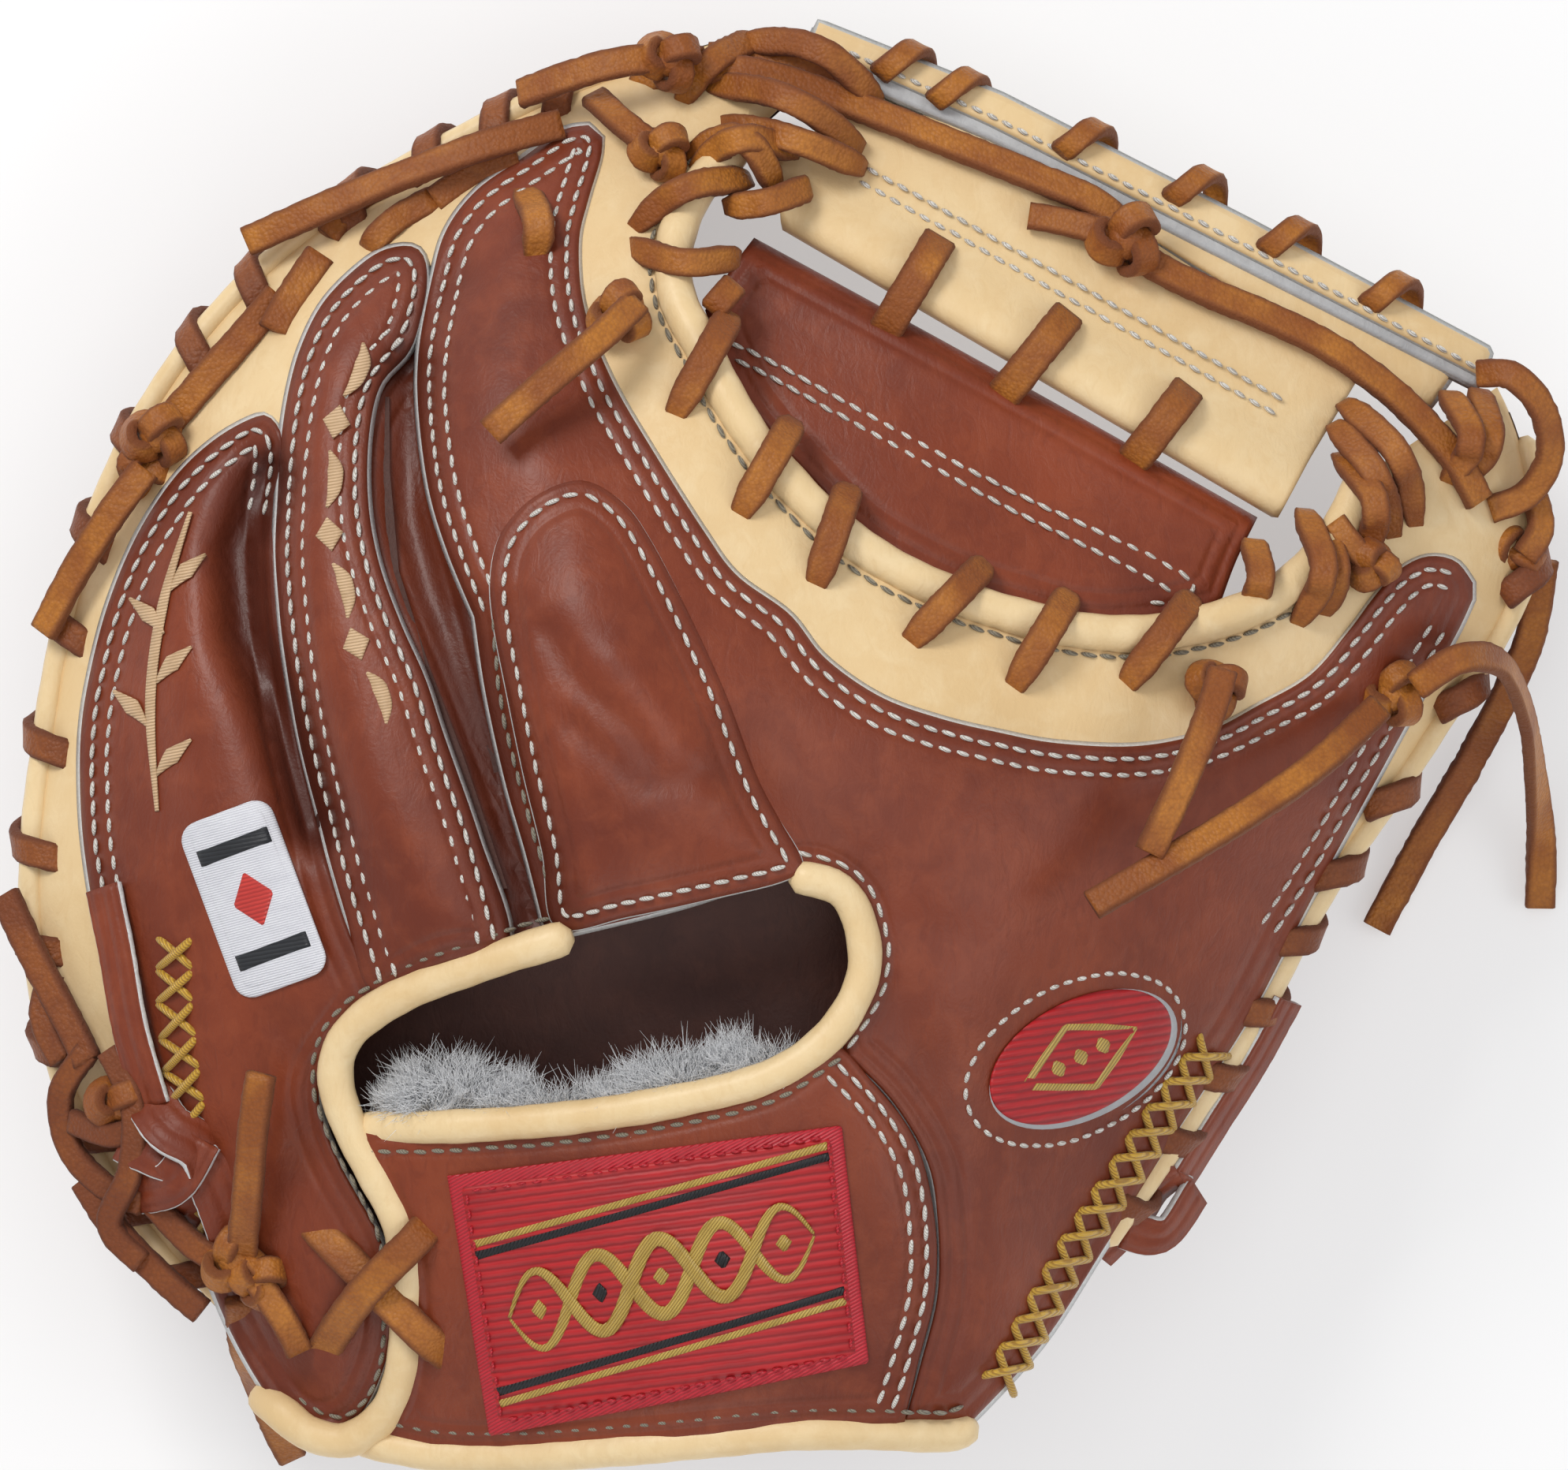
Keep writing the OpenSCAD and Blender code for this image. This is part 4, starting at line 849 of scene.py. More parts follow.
# ---------------------------------------------------------------- palm side
PALM_CUT = 0.5                  # how far the palm's top edge stands inside the rim
PALM_OUT = np.vstack([CROTCH_LINE[::-1], rim(np.arange(84, 385, 1.0), -PALM_CUT)])
panel("palm_leather", PALM_OUT, PALM, surface=lambda P: palm_z(P, PALM_CUT), lift=0.0, thick=2.6, puff=0,
      step=3.0, round_r=0.5, insets=(0.15, 0.5, 1.1, 2.0, 3.4, 5.4, 8, 11.5, 15.5),
      hides=["palm_leather_finger_side", "palm_leather_thumb_side"], wall_raw=False)


def lining_z(P):
    """Over the pads, and down to the palm's lip round the heel."""
    P = np.atleast_2d(P)
    t = inward(P)
    lip = cyclic(RIM_PALM, angle(P)) + 2.2
    over_pads = np.maximum(50, POCKET_TOP * smooth((t - PALM_WALL) / PALM_SLOPE) + 9.5)
    z = lip + (over_pads - lip) * smooth(t / 0.1)
    return np.minimum(z, base_back(P) - 4.5)


LINING_TOP = [(82, -10), (54, 1), (28, 4), (-8, 30), (-34, 72), (-66, 68), (-88, 30), (-101, -8), (-106, -42)]
LINING_OUT = spline(np.vstack([rim(np.arange(214, 346, 6), -1.6), LINING_TOP]), 2.5, True)
panel("hand_lining", LINING_OUT, LINING, surface=lining_z, lift=0.2, thick=1.3, puff=0.3, step=4,
      hides=["hand_lining"], wall_raw=False)
# dark inner leather behind the back, seen through the window
INNER = spline([(-84, -52), (-86, -20), (-80, 10), (-50, 20), (-10, 10), (20, -10), (28, -40), (22, -66),
                (-10, -78), (-50, -84), (-78, -76)], 2.5, True)


def inner_z(P):
    P = np.atleast_2d(P)
    return base_back(P) - 17 + 9 * smooth((P[:, 1] + 52) / 40) - 3 * np.exp(-((P[:, 0] + 20) / 40) ** 2)


panel("inner_back_lining", INNER, LINING, surface=inner_z, lift=0, thick=1.2, puff=0.4, step=3, body=HAND,
      wall_raw=False)
for name, mat in (("finger_pad", FELT), ("heel_pad", FELT), ("thumb_pad", FELT), ("finger_dividers", LINING)):
    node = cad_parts[name]
    node.data.materials.clear()
    node.data.materials.append(mat)

for d in (-35, -39):
    stitch(rim(np.arange(112, 372, 1.5), d), palm_z, 0.0, kind="grey", up=-1)

# ---------------------------------------------------------------- web
D_WEB = np.vstack([
    spline([(-5.5, 91.5), (20, 77.5), (48, 62), (87, 40)], 1.5)[:-1],
    spline([(87, 40), (83, 32), (80, 24)], 1.5)[:-1],
    spline([(80, 24), (66, 21), (54, 21), (43, 24), (32, 27.5), (22, 32.5), (13.5, 38), (6, 45.5), (-1.5, 54),
            (-7.5, 62), (-12, 71), (-14.5, 78)], 1.5)[:-1],
    spline([(-14.5, 78), (-9.5, 86), (-5.5, 91.5)], 1.5)])


def web_fold(P, dist):
    top = line_dist(P, [(-5.5, 91.5), (87, 40)])
    fold = np.exp(-((top - 4) / 6) ** 2) - 2.2 * np.exp(-(top / 1.6) ** 2)
    return fold + 0.7 * np.sin(P[:, 0] * 0.07) ** 2


panel("web_lower_panel", D_WEB, BROWN, surface=web_z, lift=0, thick=4.2, puff=0.4, width=6, step=2.0,
      shape=web_fold, hides=["web_lower_finger_half", "web_lower_thumb_half"], wall_raw=False)
for off in (0.0, 3.2):
    stitch(spline([(-10.5 + off * 0.4, 72 - off), (-2 + off * 0.2, 68.3 - off), (36, 47.5 - off),
                   (73 - off * 0.8, 29.5 - off * 0.9), (70.5 - off * 1.2, 24)], 1.2), web_z, 4.9)

M_WEB = resample(V((13, 120), (8, 113), (-1.5, 106), (-0.5, 93), (90.5, 39.5), (96.5, 50.5), (106, 66),
                   (60, 96)), 1.6, True)


def rolled(P, dist):
    e = line_dist(P, [(-0.5, 93), (90.5, 39.5)])
    r = 5.0
    up = np.sqrt(np.clip(r * r - (np.clip(e, 0, 2 * r) - r) ** 2, 0, None))
    return np.where(e < r, up, np.maximum(up, r * np.exp(-((e - r) / 7.5) ** 2) + 1.0 * smooth((e - r) / 8)))


panel("web_middle_panel", M_WEB, CREAM, surface=web_z, lift=2.8, thick=1.8, puff=0, step=1.9, shape=rolled,
      insets=(0.3, 0.8, 1.6, 2.8), hides=["web_middle_finger_half", "web_middle_thumb_half"], wall_raw=False)
for a, b in (((15, 104.5), (92, 61.5)), ((13.6, 102), (90.6, 58.8))):
    stitch(resample(V(a, b), 1), web_z, 6.6, length=2.2, gap=0.9, kind="cream")
T_IN = resample(V((14, 120), (8, 126), (60, 101.5), (102, 79.5), (124, 67.5), (119, 60.5), (106, 68),
                  (60, 96)), 1.5, True)
panel("web_inner_band", T_IN, CREAM, surface=web_z, lift=2.2, thick=2.0, puff=0.5, step=2.0, width=3,
      hides=["web_top_finger_half", "web_top_thumb_half"])
T_MID = resample(V((5.5, 130), (40, 115.5), (86, 92), (129.5, 69), (127.6, 64), (84, 86), (38, 109.5),
                   (3.6, 124.2)), 1.4, True)
panel("web_raw_layer", T_MID, RAW, surface=web_z, lift=4.0, thick=1.5, puff=0.1, step=2.0, width=2)
T_OUT = resample(V((6.5, 131.5), (40, 118), (86, 94.5), (130.5, 71), (128.8, 66), (84, 89), (38, 112.5),
                   (5, 127.5)), 1.4, True)
panel("web_top_band", T_OUT, CREAM, surface=web_z, lift=5.3, thick=1.8, puff=0.7, step=1.8, width=3)
stitch(resample(V((6, 128.6), (39, 113.6), (85, 90.2), (128, 67.6)), 1), web_z, 7.5, length=2.2, gap=0.9,
       kind="cream")

laces = {HAND: Batch(), THUMB: Batch()}
bent = Batch()


def across(path, d):
    """Up directions for a lace that bridges a gap in the direction d."""
    ref = V(d[1], -d[0], 0) / np.linalg.norm(d)
    up = np.cross(np.broadcast_to(ref, path.shape), np.gradient(path, axis=0))
    return up / np.linalg.norm(up, axis=1)[:, None]


def arch(a, b, top=6.4, peak=0.66, w=LACE_W, surf=base_back, sink=(1.8, 3.5), over=0.0):
    """A lace over the welt, from a hole at a to one at b."""
    a, b = V(*a), V(*b)
    s = V(0, 0.10, 0.32, peak - 0.08, peak + 0.12, 0.96, 1.02)
    h = V(-sink[0], 1.4, 0.5 * top + 0.8, top, top - 0.6, 1.2, -sink[1])
    P = a + (b - a) * s[:, None]
    d = b - a
    P = P + over * np.sin(np.pi * s)[:, None] * V(-d[1], d[0]) / np.linalg.norm(d)
    pts = np.column_stack([P, surf(P) + h])
    path = spline(pts, 1.0)
    k = np.linspace(0, 1, len(path))
    pinch = 0.62 + 0.38 * smooth(np.minimum(k, 1 - k) / 0.24)
    bent.strip(path, across(path, d), w, LACE_T, taper=pinch)


for a, b in (((-20.5, 57.5), (-10, 76.5)), ((-8.5, 39.5), (1.5, 57)), ((5.5, 26.5), (11.8, 45)),
             ((22, 16), (36.5, 31)), ((41.5, 8), (52, 25.5)), ((62, 8.5), (74.5, 25))):
    arch(a, b)
# wraps round the horns, drawn tight
for a, b, top, over in (((-28, 92.3), (-7, 102), 8.5, 3.0), ((-28.3, 90), (-9, 87.5), 6.5, -2.2),
                        ((-18.5, 106), (-1.5, 100.5), 9.5, 6.5), ((-17, 103), (1.5, 107.5), 10.5, 4.0),
                        ((-15.5, 120), (13.5, 108.5), 10.5, 3.0), ((-12, 112.5), (14, 104.5), 7.0, 1.0),
                        ((-9.5, 127.5), (17, 117), 9.0, 4.5), ((-19, 116), (-6, 128), 7.0, 2.0),
                        ((-10.5, 97), (4, 100.5), 4.5, -1.0), ((-13, 78), (-9.5, 82), 2.0, 0.0)):
    arch(a, b, top, 0.55, over=over, w=5.2)
for a, b, top, over in (((84.5, 22.5), (86, 35), 6.5, -2.0), ((93.5, 20), (95.5, 40.5), 8.8, -4.2),
                        ((98.5, 22), (99, 37.5), 7.0, -2.4), ((105.5, 31.5), (102.5, 51), 9.0, -4.5),
                        ((116, 38), (103.5, 60.5), 9.0, -3.6), ((112, 36), (101.5, 56.5), 7.4, -2.2),
                        ((121.5, 46.5), (122.5, 62.5), 8.0, -4.4), ((125.5, 47), (128, 63), 7.6, -3.2)):
    arch(a, b, top, 0.5, over=over, w=5.2)
lace(bent, V((128, 66.5, 56), (134, 66, 59.5), (139.5, 60, 58), (141, 51.5, 54), (137, 44.5, 51.5),
             (130, 41.5, 52)), (0.35, 0, 1), w=5.2)
lace(bent, V((138.5, 44, 47), (139.5, 38, 49), (136.5, 33, 50)), (0.5, 0, 1), w=5.0)
arch((-48.5, 100.8), (-46, 86.8), 7.5, 0.5, over=2.2, surf=back_z, sink=(-1, -1))
arch((-77, 89.5), (-64.5, 98.8), 2.6, 0.5, over=1.0, w=5.0)
# the small link laces of the web
for a, b in (((18.2, 73.6), (28.4, 90.8)), ((40, 62), (52, 77)), ((63.8, 50), (74, 63.2))):
    a, b = V(*a), V(*b)
    s = V(0, 0.12, 0.45, 0.8, 1.0)
    P = a + (b - a) * s[:, None]
    z = web_z(P) + V(2.5, 6.4, 10.6, 12.0, 8.0)
    path = spline(np.column_stack([P, z]), 1.0)
    bent.strip(path, across(path, b - a), 6.4, LACE_T)
# spine lace over the web
SPINE = [(-27, 119, 4), (-22, 121.5, 8), (-10, 122.5, 12), (2, 120, 10.5), (16, 114.8, 9), (31, 108.8, 9),
         (48, 102, 9), (58, 97.5, 9.5), (63, 92, 9.5), (68, 86.5, 9), (78, 81.5, 9), (90, 76.5, 9),
         (101, 71, 9.5), (112, 63, 10), (119, 56, 11), (124, 50, 11), (128, 43, 9)]


def above(surface, pts):
    """Points given by their place and their height above a surface."""
    return V(*[(x, y, surface(V((x, y)))[0] + h) for x, y, h in pts])


lace(bent, above(web_z, SPINE), (0.2, 0.35, 0.9), w=5.6)
lace(bent, above(web_z, [(-14, 125, 7), (0, 124, 8), (10, 119.5, 7.4)]), (0, 0.3, 1), w=5.6)
knot(bent, above(web_z, [(63, 91, 11.5)])[0], 6.0, 20, 10, 5.4)
lace(bent, above(web_z, [(60, 92, 11), (55, 93.5, 9.5), (49.5, 94.8, 8.5), (45, 95.5, 8)]), (0, 0.2, 1),
     w=5.0, t=2.2)

# knots by the crotch and at the horns
knots = {}
for name, at, size, turn, body in (("index", (-30, 77, 7.0), 4.8, 40, HAND),
                                   ("crotch", (79, 8.5, 6.5), 4.6, 100, THUMB),
                                   ("thumb", (112, 7.5, 5.5), 5.2, 20, THUMB),
                                   ("horn", (-22.5, 107, 5), 4.6, 10, HAND),
                                   ("small", (108, 31, 5), 3.6, 60, THUMB)):
    at = above(base_back, [at])[0]
    knot(laces[body], at, size, turn, 8)
    knots[name] = at[2]
lace(laces[THUMB], V((108, 31, knots["small"]), (104, 35, knots["small"] + 1), (101, 39, knots["small"])), UP,
     w=4.6)
lace(laces[HAND], V((-22.5, 107, knots["horn"]), (-29, 112, knots["horn"] - 3), (-35, 117.5, 56)),
     (0.2, 0.4, 1), w=5.2)
knot(laces[THUMB], (134, 33, 46), 5.4, 70, 35)
knot(laces[HAND], (-21, 124, 60), 5.0, 0, 20)

# ---------------------------------------------------------------- rim laces
rims = {HAND: Batch(), THUMB: Batch()}


def loop(batch, centre, out, along, size, turn, slide, w, t, jitter):
    """A flat lace bent round an edge: out of it and back under, while it slides along it."""
    s = np.radians(np.linspace(*turn))[:, None]
    path = centre + out * (size[0] * np.cos(s)) + V(*UP) * (size[1] * np.sin(s))
    batch.strip(path + along * np.linspace(*slide, len(s))[:, None], out * np.cos(s) + V(*UP) * np.sin(s), w,
                t, jitter)


def rim_loop(batch, a, slide):
    out = V(math.cos(math.radians(a)), math.sin(math.radians(a)), 0)
    centre = V(*rim(a, -2.5), float(cyclic(RIM_BACK, a)) - 3.2)
    loop(batch, centre, out, np.cross(out, UP), (5.9, 6.4), (122, -112, 16), (-slide, slide), 5.4, 2.3, 0.025)


for a in (108, 114, 120.5, 128, 138.5, 145.5, 155, 163, 170.5, 180, 188, 195, 202.5, 209, 215, 221):
    rim_loop(rims[HAND], a, 5.0 + 0.8 * math.sin(a))
for a in (-53, -45, -37, -29, -20.5, -12.5, -4.5, 4.5, 13):
    rim_loop(rims[THUMB], a, -5.0)
# loops on the web's top edge
for x, y in ((22.6, 124.2), (32.8, 119.1), (56, 109.7), (76.3, 101), (93.7, 91.6), (112.5, 81.5)):
    out = V(*WEB_UP, 0)
    loop(bent, above(web_z, [(x, y, 5)])[0] - out, out, V(*WEB_ALONG, 0), (4.2, 5.4), (140, -100, 14),
         (-3.5, 4.5), 4.6, 2.2, 0.02)

# runs and knots of lace along the little finger's edge
H = laces[HAND]
lace(H, on(base_back, [(-93, 81), (-99, 74), (-107, 65), (-113, 58)], 3.2), (0, 0, 1))
knot(H, (-115.5, 55, 57), 5.2, 30, 25)
knot(H, (-118, 48.5, 53), 4.4, 80, 35)
lace(H, on(base_back, [(-85.5, 88.5), (-91, 80), (-94, 74.5)], 2.6), (0, 0, 1))
lace(H, on(base_back, [(-64.5, 98.5), (-57, 103.5), (-49, 106.5)], 1.8), (0, 0, 1), w=5.0)
lace(H, on(base_back, [(-84, 92), (-78, 99), (-66, 104.5), (-62, 107)], 1.2), (0, 0.3, 1), w=4.6)
for pts, w in (([(-143.5, -29.5, 51), (-138.5, -40, 54), (-132, -52, 57.5), (-128, -60, 60)], 5.6),
               ([(-128, -58, 60), (-133, -66, 56), (-131.5, -76, 54), (-125, -83, 57), (-118, -86, 61)], 4.8),
               ([(-124, -58, 62), (-119.5, -68, 65), (-120, -80, 64), (-124, -90, 59), (-118, -97, 60)], 4.8),
               ([(-129, -82, 54), (-123, -91, 57), (-114, -100, 60), (-107, -106, 61)], 5.2),
               ([(-131, -71, 56), (-123.5, -73.5, 62), (-116, -71, 65)], 4.6),
               ([(-135, -44, 54), (-136.5, -52, 54), (-133, -60, 56)], 4.8),
               ([(-116, -86, 61), (-108, -94, 65), (-101, -97, 67)], 5.0)):
    lace(rims[HAND], V(*pts), (-0.35, -0.2, 1), w=w)
knot(H, (-122, -68, 62), 5.0, 10, 30)
knot(H, (-100.5, -96.5, 68), 5.6, 50, 15)
knot(H, (-96.5, -100, 69), 4.4, 110, 15)
lace(H, V((-98, -98, 70), (-92, -107, 70), (-89, -113, 67)), (0, 0, 1), w=5.2)

# ---------------------------------------------------------------- crossed lace at the wrist
cross = Batch()
lace(cross, on(base_back, [(-87.5, -88), (-84, -92), (-76, -100), (-66, -110), (-61, -114)], 3.9)
     + V(*[(0, 0, h) for h in (-4.5, 0, 1.4, 1.2, -4)]), (0, 0, 1), w=6.4)
lace(cross, on(base_back, [(-64.5, -89), (-68, -93), (-76, -101), (-82, -109), (-85.5, -115)], 5.0)
     + V(*[(0, 0, h) for h in (-5, 0.8, 3.2, 0.4, -5)]), (0, 0, 1), w=6.4)
cross.make("wrist_adjust_lace", LACE, HAND, ["wrist_adjust_lace"])

# ---------------------------------------------------------------- leather pull loops with raw edges
loops = {HAND: Batch(), THUMB: Batch()}


def strap(batch, pts, ups, w):
    lace(batch, pts, ups, w, 1.8, 1.2, 0.01)


strap(loops[HAND], V((-125, -28, 64), (-122.5, -40, 66), (-120, -54, 66.5), (-116, -68, 66)), (-0.6, 0, 0.8),
      8)
strap(loops[HAND], V((-117, -66, 64), (-113, -72, 70), (-107, -76, 70), (-105, -84, 66), (-110, -88, 62)),
      V((-0.4, 0.2, 1), (0, 0.3, 1), (0.5, 0.2, 1), (0.6, -0.2, 1), (0, -0.6, 1)), 9.5)
strap(loops[HAND], V((-121, -74, 62), (-114, -77, 67.5), (-106, -80, 69), (-101, -92, 66)), (-0.1, 0.1, 1),
      9.5)
strap(loops[HAND], V((-119, -84, 60), (-112, -82, 69), (-107, -74, 70.5)), (-0.3, -0.2, 1), 8.5)
strap(loops[THUMB], V((93, -49, 46), (87, -60, 45), (80, -71, 46), (73, -82, 50)), (0.75, -0.4, 0.5), 9)
strap(loops[THUMB], V((73, -80, 52), (68, -84, 50), (64, -90, 47), (58, -96, 46)), (0.6, -0.5, 0.6), 9)
strap(loops[THUMB], V((76, -84, 46), (70, -92, 50), (63, -91, 52)), (0.4, -0.6, 0.7), 8.5)


def raw_strap(b, name, body, hides):
    a = np.concatenate(b.a)
    piece(name, np.vstack(b.v), b.f, BROWN, {"edge": np.where(a > 0.9, -1.0, 4 * (1 - a) + 1.2)}, body, hides)


raw_strap(loops[HAND], "little_finger_loop", HAND, ["little_finger_loop"])
raw_strap(loops[THUMB], "thumb_loop", THUMB, ["thumb_loop"])
laces[HAND].make("knots_finger_side", LACE, HAND, ["rim_lace_finger_side"])
laces[THUMB].make("knots_thumb_side", LACE, THUMB, ["rim_lace_thumb_side"])
rims[HAND].make("rim_lace_finger_side", LACE_DARK, HAND, ["rim_lace_finger_side"])
rims[THUMB].make("rim_lace_thumb_side", LACE_DARK, THUMB, ["rim_lace_thumb_side"])
bent.make("crotch_and_web_laces", LACE, None, ["crotch_lace_finger_side", "crotch_lace_thumb_side",
                                               "web_spine_lace_finger_half", "web_link_lace_thumb_half",
                                               "web_spine_lace_thumb_half", "web_link_laces_finger_half"])

# ---------------------------------------------------------------- loose lace ends
ENDS = {
    "index": (HAND, [(-27, 79, 87), (-33, 73, 94), (-40, 67, 97.5), (-47, 61, 98), (-53.5, 55, 98)],
              (UP, (0.3, 0.3, 1))),
    "crotch": (THUMB, [(80, 11.5, 91), (78, 5, 96), (74.5, -4, 98.5), (70.5, -13, 99.5), (66.5, -21.5, 100)],
               (UP, (0.35, 0, 1))),
    "thumb_long": (THUMB, [(109, 5, 70), (98, -5, 84), (85, -14, 93), (70, -23, 99), (56, -31, 102)],
                   (UP, (-0.2, 0.3, 1), (0.1, 0.4, 1))),
    "thumb_drop": (THUMB, [(140.3, 32, 42), (137.5, 16, 31.5), (128.5, -3, 17), (119, -20, 6),
                           (110.5, -36, 3)], (UP, (0.4, 0, 1), UP)),
    "thumb_curl": (THUMB, [(116, 9, 68), (124, 14, 70), (132, 13, 58), (137, 4, 40), (139.5, -8, 22),
                           (141, -20, 8), (141, -32, 3)],
                   (UP, (0.8, 0.3, 0.5), (1, 0, 0.3), (0.6, 0, 0.8), UP)),
    "top_short": (HAND, [(-15.5, 124, 56), (-22, 124.5, 60), (-31, 123.5, 62), (-40, 121, 59.5),
                         (-48.5, 118, 55)], (UP, (0, 0.4, 1))),
    "top_long": (HAND, [(-41, 112.5, 56), (-55, 108.5, 58.5), (-70, 103, 57.5), (-85, 97, 54), (-99, 91, 50)],
                 (UP, (0, 0.5, 0.8), UP)),
    "rim_left": (HAND, [(-117.5, 49, 58), (-123.5, 41, 57.5), (-130, 31, 54), (-136.5, 19, 50)],
                 (UP, (-0.5, 0, 0.8))),
    "heel_left": (HAND, [(-99.5, -98, 66.5), (-99, -91, 73.5), (-98, -82, 79.5), (-97, -72, 84.5),
                         (-95.5, -62, 88)], (UP, (-0.3, 0, 1))),
    "heel_drop": (HAND, [(-100, -104, 62), (-99.5, -114, 48), (-96, -124, 32), (-91.5, -134, 18)],
                  (UP, (-0.6, -0.3, 0.7), UP)),
}
for name, (body, pts, ups) in ENDS.items():
    path = spline(V(*pts), 1.2)
    v, f, a = sweep(path, spread(ups, len(path)), *flat_section(5.6, 2.4), jitter=LACE_JITTER)
    obj = piece("lace_end_" + name, v, f, LACE, {"across": a}, body, ["lace_end_" + name])
    line = (path + SHIFT) / 1000


# ---------------------------------------------------------------- waxed cross stitching at the sides
def cross_stitch(name, line, half, count, body, hides):
    b = Batch()
    line = resample(V(*line), 0.5)
    n = left_of(np.gradient(line, axis=0))
    at = np.linspace(0, len(line) - 1, count + 1).astype(int)
    for i, j in zip(at[:-1], at[1:]):
        for s, h in ((1, 0.9), (-1, 1.9)):
            p, q = line[i] - s * half * n[i], line[j] + s * half * n[j]
            k = V(0, 0.15, 0.5, 0.85, 1)[:, None]
            P = p + (q - p) * k
            path = spline(np.column_stack([P, back_z(P) + 2.6 + V(-1.6, 0.5, h, 0.5, -1.6)]), 0.8)
            b.add(*sweep(path, UP, *round_section(0.78, 8)))
    b.make(name, YELLOW, body, hides)


cross_stitch("side_stitch_little_finger", [(-111.5, -37), (-111.5, -49), (-110.5, -60), (-109, -72),
                                           (-107, -83), (-105, -92)], 3.6, 9, HAND,
             ["side_stitch_little_finger"])
cross_stitch("side_stitch_thumb", [(79, -57), (74, -63.5), (68.5, -71), (63, -79.5), (58, -87), (53, -94.5),
                                   (48.5, -102.5), (44, -110.5), (39, -119)], 3.6, 13, THUMB,
             ["side_stitch_thumb"])


# ---------------------------------------------------------------- badges, plain bands with no lettering
def patch(name, outline, mat, lift, thick, body=HAND, hides=(), puff=0.25):
    panel(name, resample(V(*outline), 1.0, True), mat, lift=lift, thick=thick, puff=puff, width=1.5, step=1.5,
          round_r=0.4, insets=(0.3, 0.8), body=body, hides=hides, wall_raw=False)


A, B, C, D = V(-61.5, -80.5), V(10.5, -71), V(15.5, -114.5), V(-54, -128.5)


def wrist_at(u, v):
    top, low = A + (B - A) * u, D + (C - D) * u
    return tuple(top + (low - top) * v)


def wrist_patch(name, u0, u1, v0, v1, mat, lift, thick=0.6, hides=()):
    pts = [wrist_at(u0, v0), wrist_at(u1, v0), wrist_at(u1, v1), wrist_at(u0, v1)]
    patch(name, pts, mat, lift, thick, hides=hides)


wrist_patch("wrist_badge", 0, 1, 0, 1, RED_EDGE, 3.4, 1.1, ["wrist_badge"])
wrist_patch("wrist_badge_field", 0.028, 0.972, 0.045, 0.955, RED, 4.3, 0.5)


def ribbon(name, line, w, mat, lift, at=wrist_at, body=HAND):
    """A satin line between points, w wide at each of them."""
    line = V(*[at(u, v) for u, v in line])
    n = left_of(np.gradient(line, axis=0))
    w = np.interp(np.linspace(0, 1, len(line)), np.linspace(0, 1, len(w)), w)[:, None] / 2
    panel(name, resample(np.vstack([line + n * w, (line - n * w)[::-1]]), 0.8, True), mat, lift=lift,
          thick=0.5, puff=0.35, width=0.8, step=1.2, round_r=0.3, insets=(0.3,), body=body, wall_raw=False)


for i, (v0, v1, w, mat) in enumerate(((0.27, 0.075, 1.5, GOLD), (0.315, 0.12, 1.7, BLACK),
                                      (0.84, 0.68, 1.7, BLACK), (0.885, 0.725, 1.5, GOLD))):
    ribbon(f"wrist_badge_stripe_{i}", [(0.04, v0), (0.96, v1)], (w, w), mat, 4.7)
for i, phase in enumerate((0, math.pi)):
    ribbon(f"wrist_badge_braid_{i}",
           [(u, 0.585 - 0.17 * u + 0.15 * math.sin(math.pi * 5 * (u - 0.10) / 0.80 + phase))
            for u in np.linspace(0.10, 0.90, 71)], (0.6, 2.3, 2.7, 2.7, 2.3, 0.6), GOLD, 4.8 + 0.35 * i)
for i in range(5):
    u = 0.18 + 0.16 * i
    v = 0.585 - 0.17 * u
    pts = [wrist_at(u - 0.022, v), wrist_at(u, v - 0.045), wrist_at(u + 0.022, v), wrist_at(u, v + 0.045)]
    patch(f"wrist_badge_diamond_{i}", pts, BLACK if i % 2 else GOLD, 4.8, 0.6)
for a, b in (((0.05, 0.07), (0.95, 0.04)), ((0.05, 0.95), (0.95, 0.95)), ((0.04, 0.07), (0.04, 0.94)),
             ((0.96, 0.05), (0.96, 0.94))):
    stitch(V(wrist_at(*a), wrist_at(*b)), back_z, 4.9, length=1.9, gap=1.0, r=0.3, kind="red")


def turned(pts, centre, degrees):
    c, s = math.cos(math.radians(degrees)), math.sin(math.radians(degrees))
    return [(centre[0] + c * x - s * y, centre[1] + s * x + c * y) for x, y in pts]


def rounded(w, h, r):
    """A rectangle's outline with corners of radius r."""
    x, y = w / 2 - r, h / 2 - r
    pts = []
    for cx, cy, start in ((x, y, 0), (-x, y, 90), (-x, -y, 180), (x, -y, 270)):
        for a in np.radians(np.arange(start, start + 91, 15)):
            pts.append((cx + r * math.cos(a), cy + r * math.sin(a)))
    return pts


FB, FB_TURN = (-97, -30), 20.5
patch("finger_badge", turned(rounded(18, 34, 3.5), FB, FB_TURN), WHITE, 3.2, 1.0, hides=["finger_badge"])
patch("finger_badge_field", turned(rounded(15, 31, 2), FB, FB_TURN), WHITE, 4.0, 0.4)
for name, y in (("upper", 10.2), ("lower", -10.2)):
    band = [(7, y - 1.6), (7, y + 1.6), (-7, y + 1.6), (-7, y - 1.6)]
    patch("finger_badge_band_" + name, turned(band, FB, FB_TURN), NAVY, 4.3, 0.5)
diamond = [(4.2, 0), (0, 5.6), (-4.2, 0), (0, -5.6)]
patch("finger_badge_diamond", turned(diamond, FB, FB_TURN), SCARLET, 4.3, 0.5)
OV, OV_TURN = (54.3, -58.9), 27


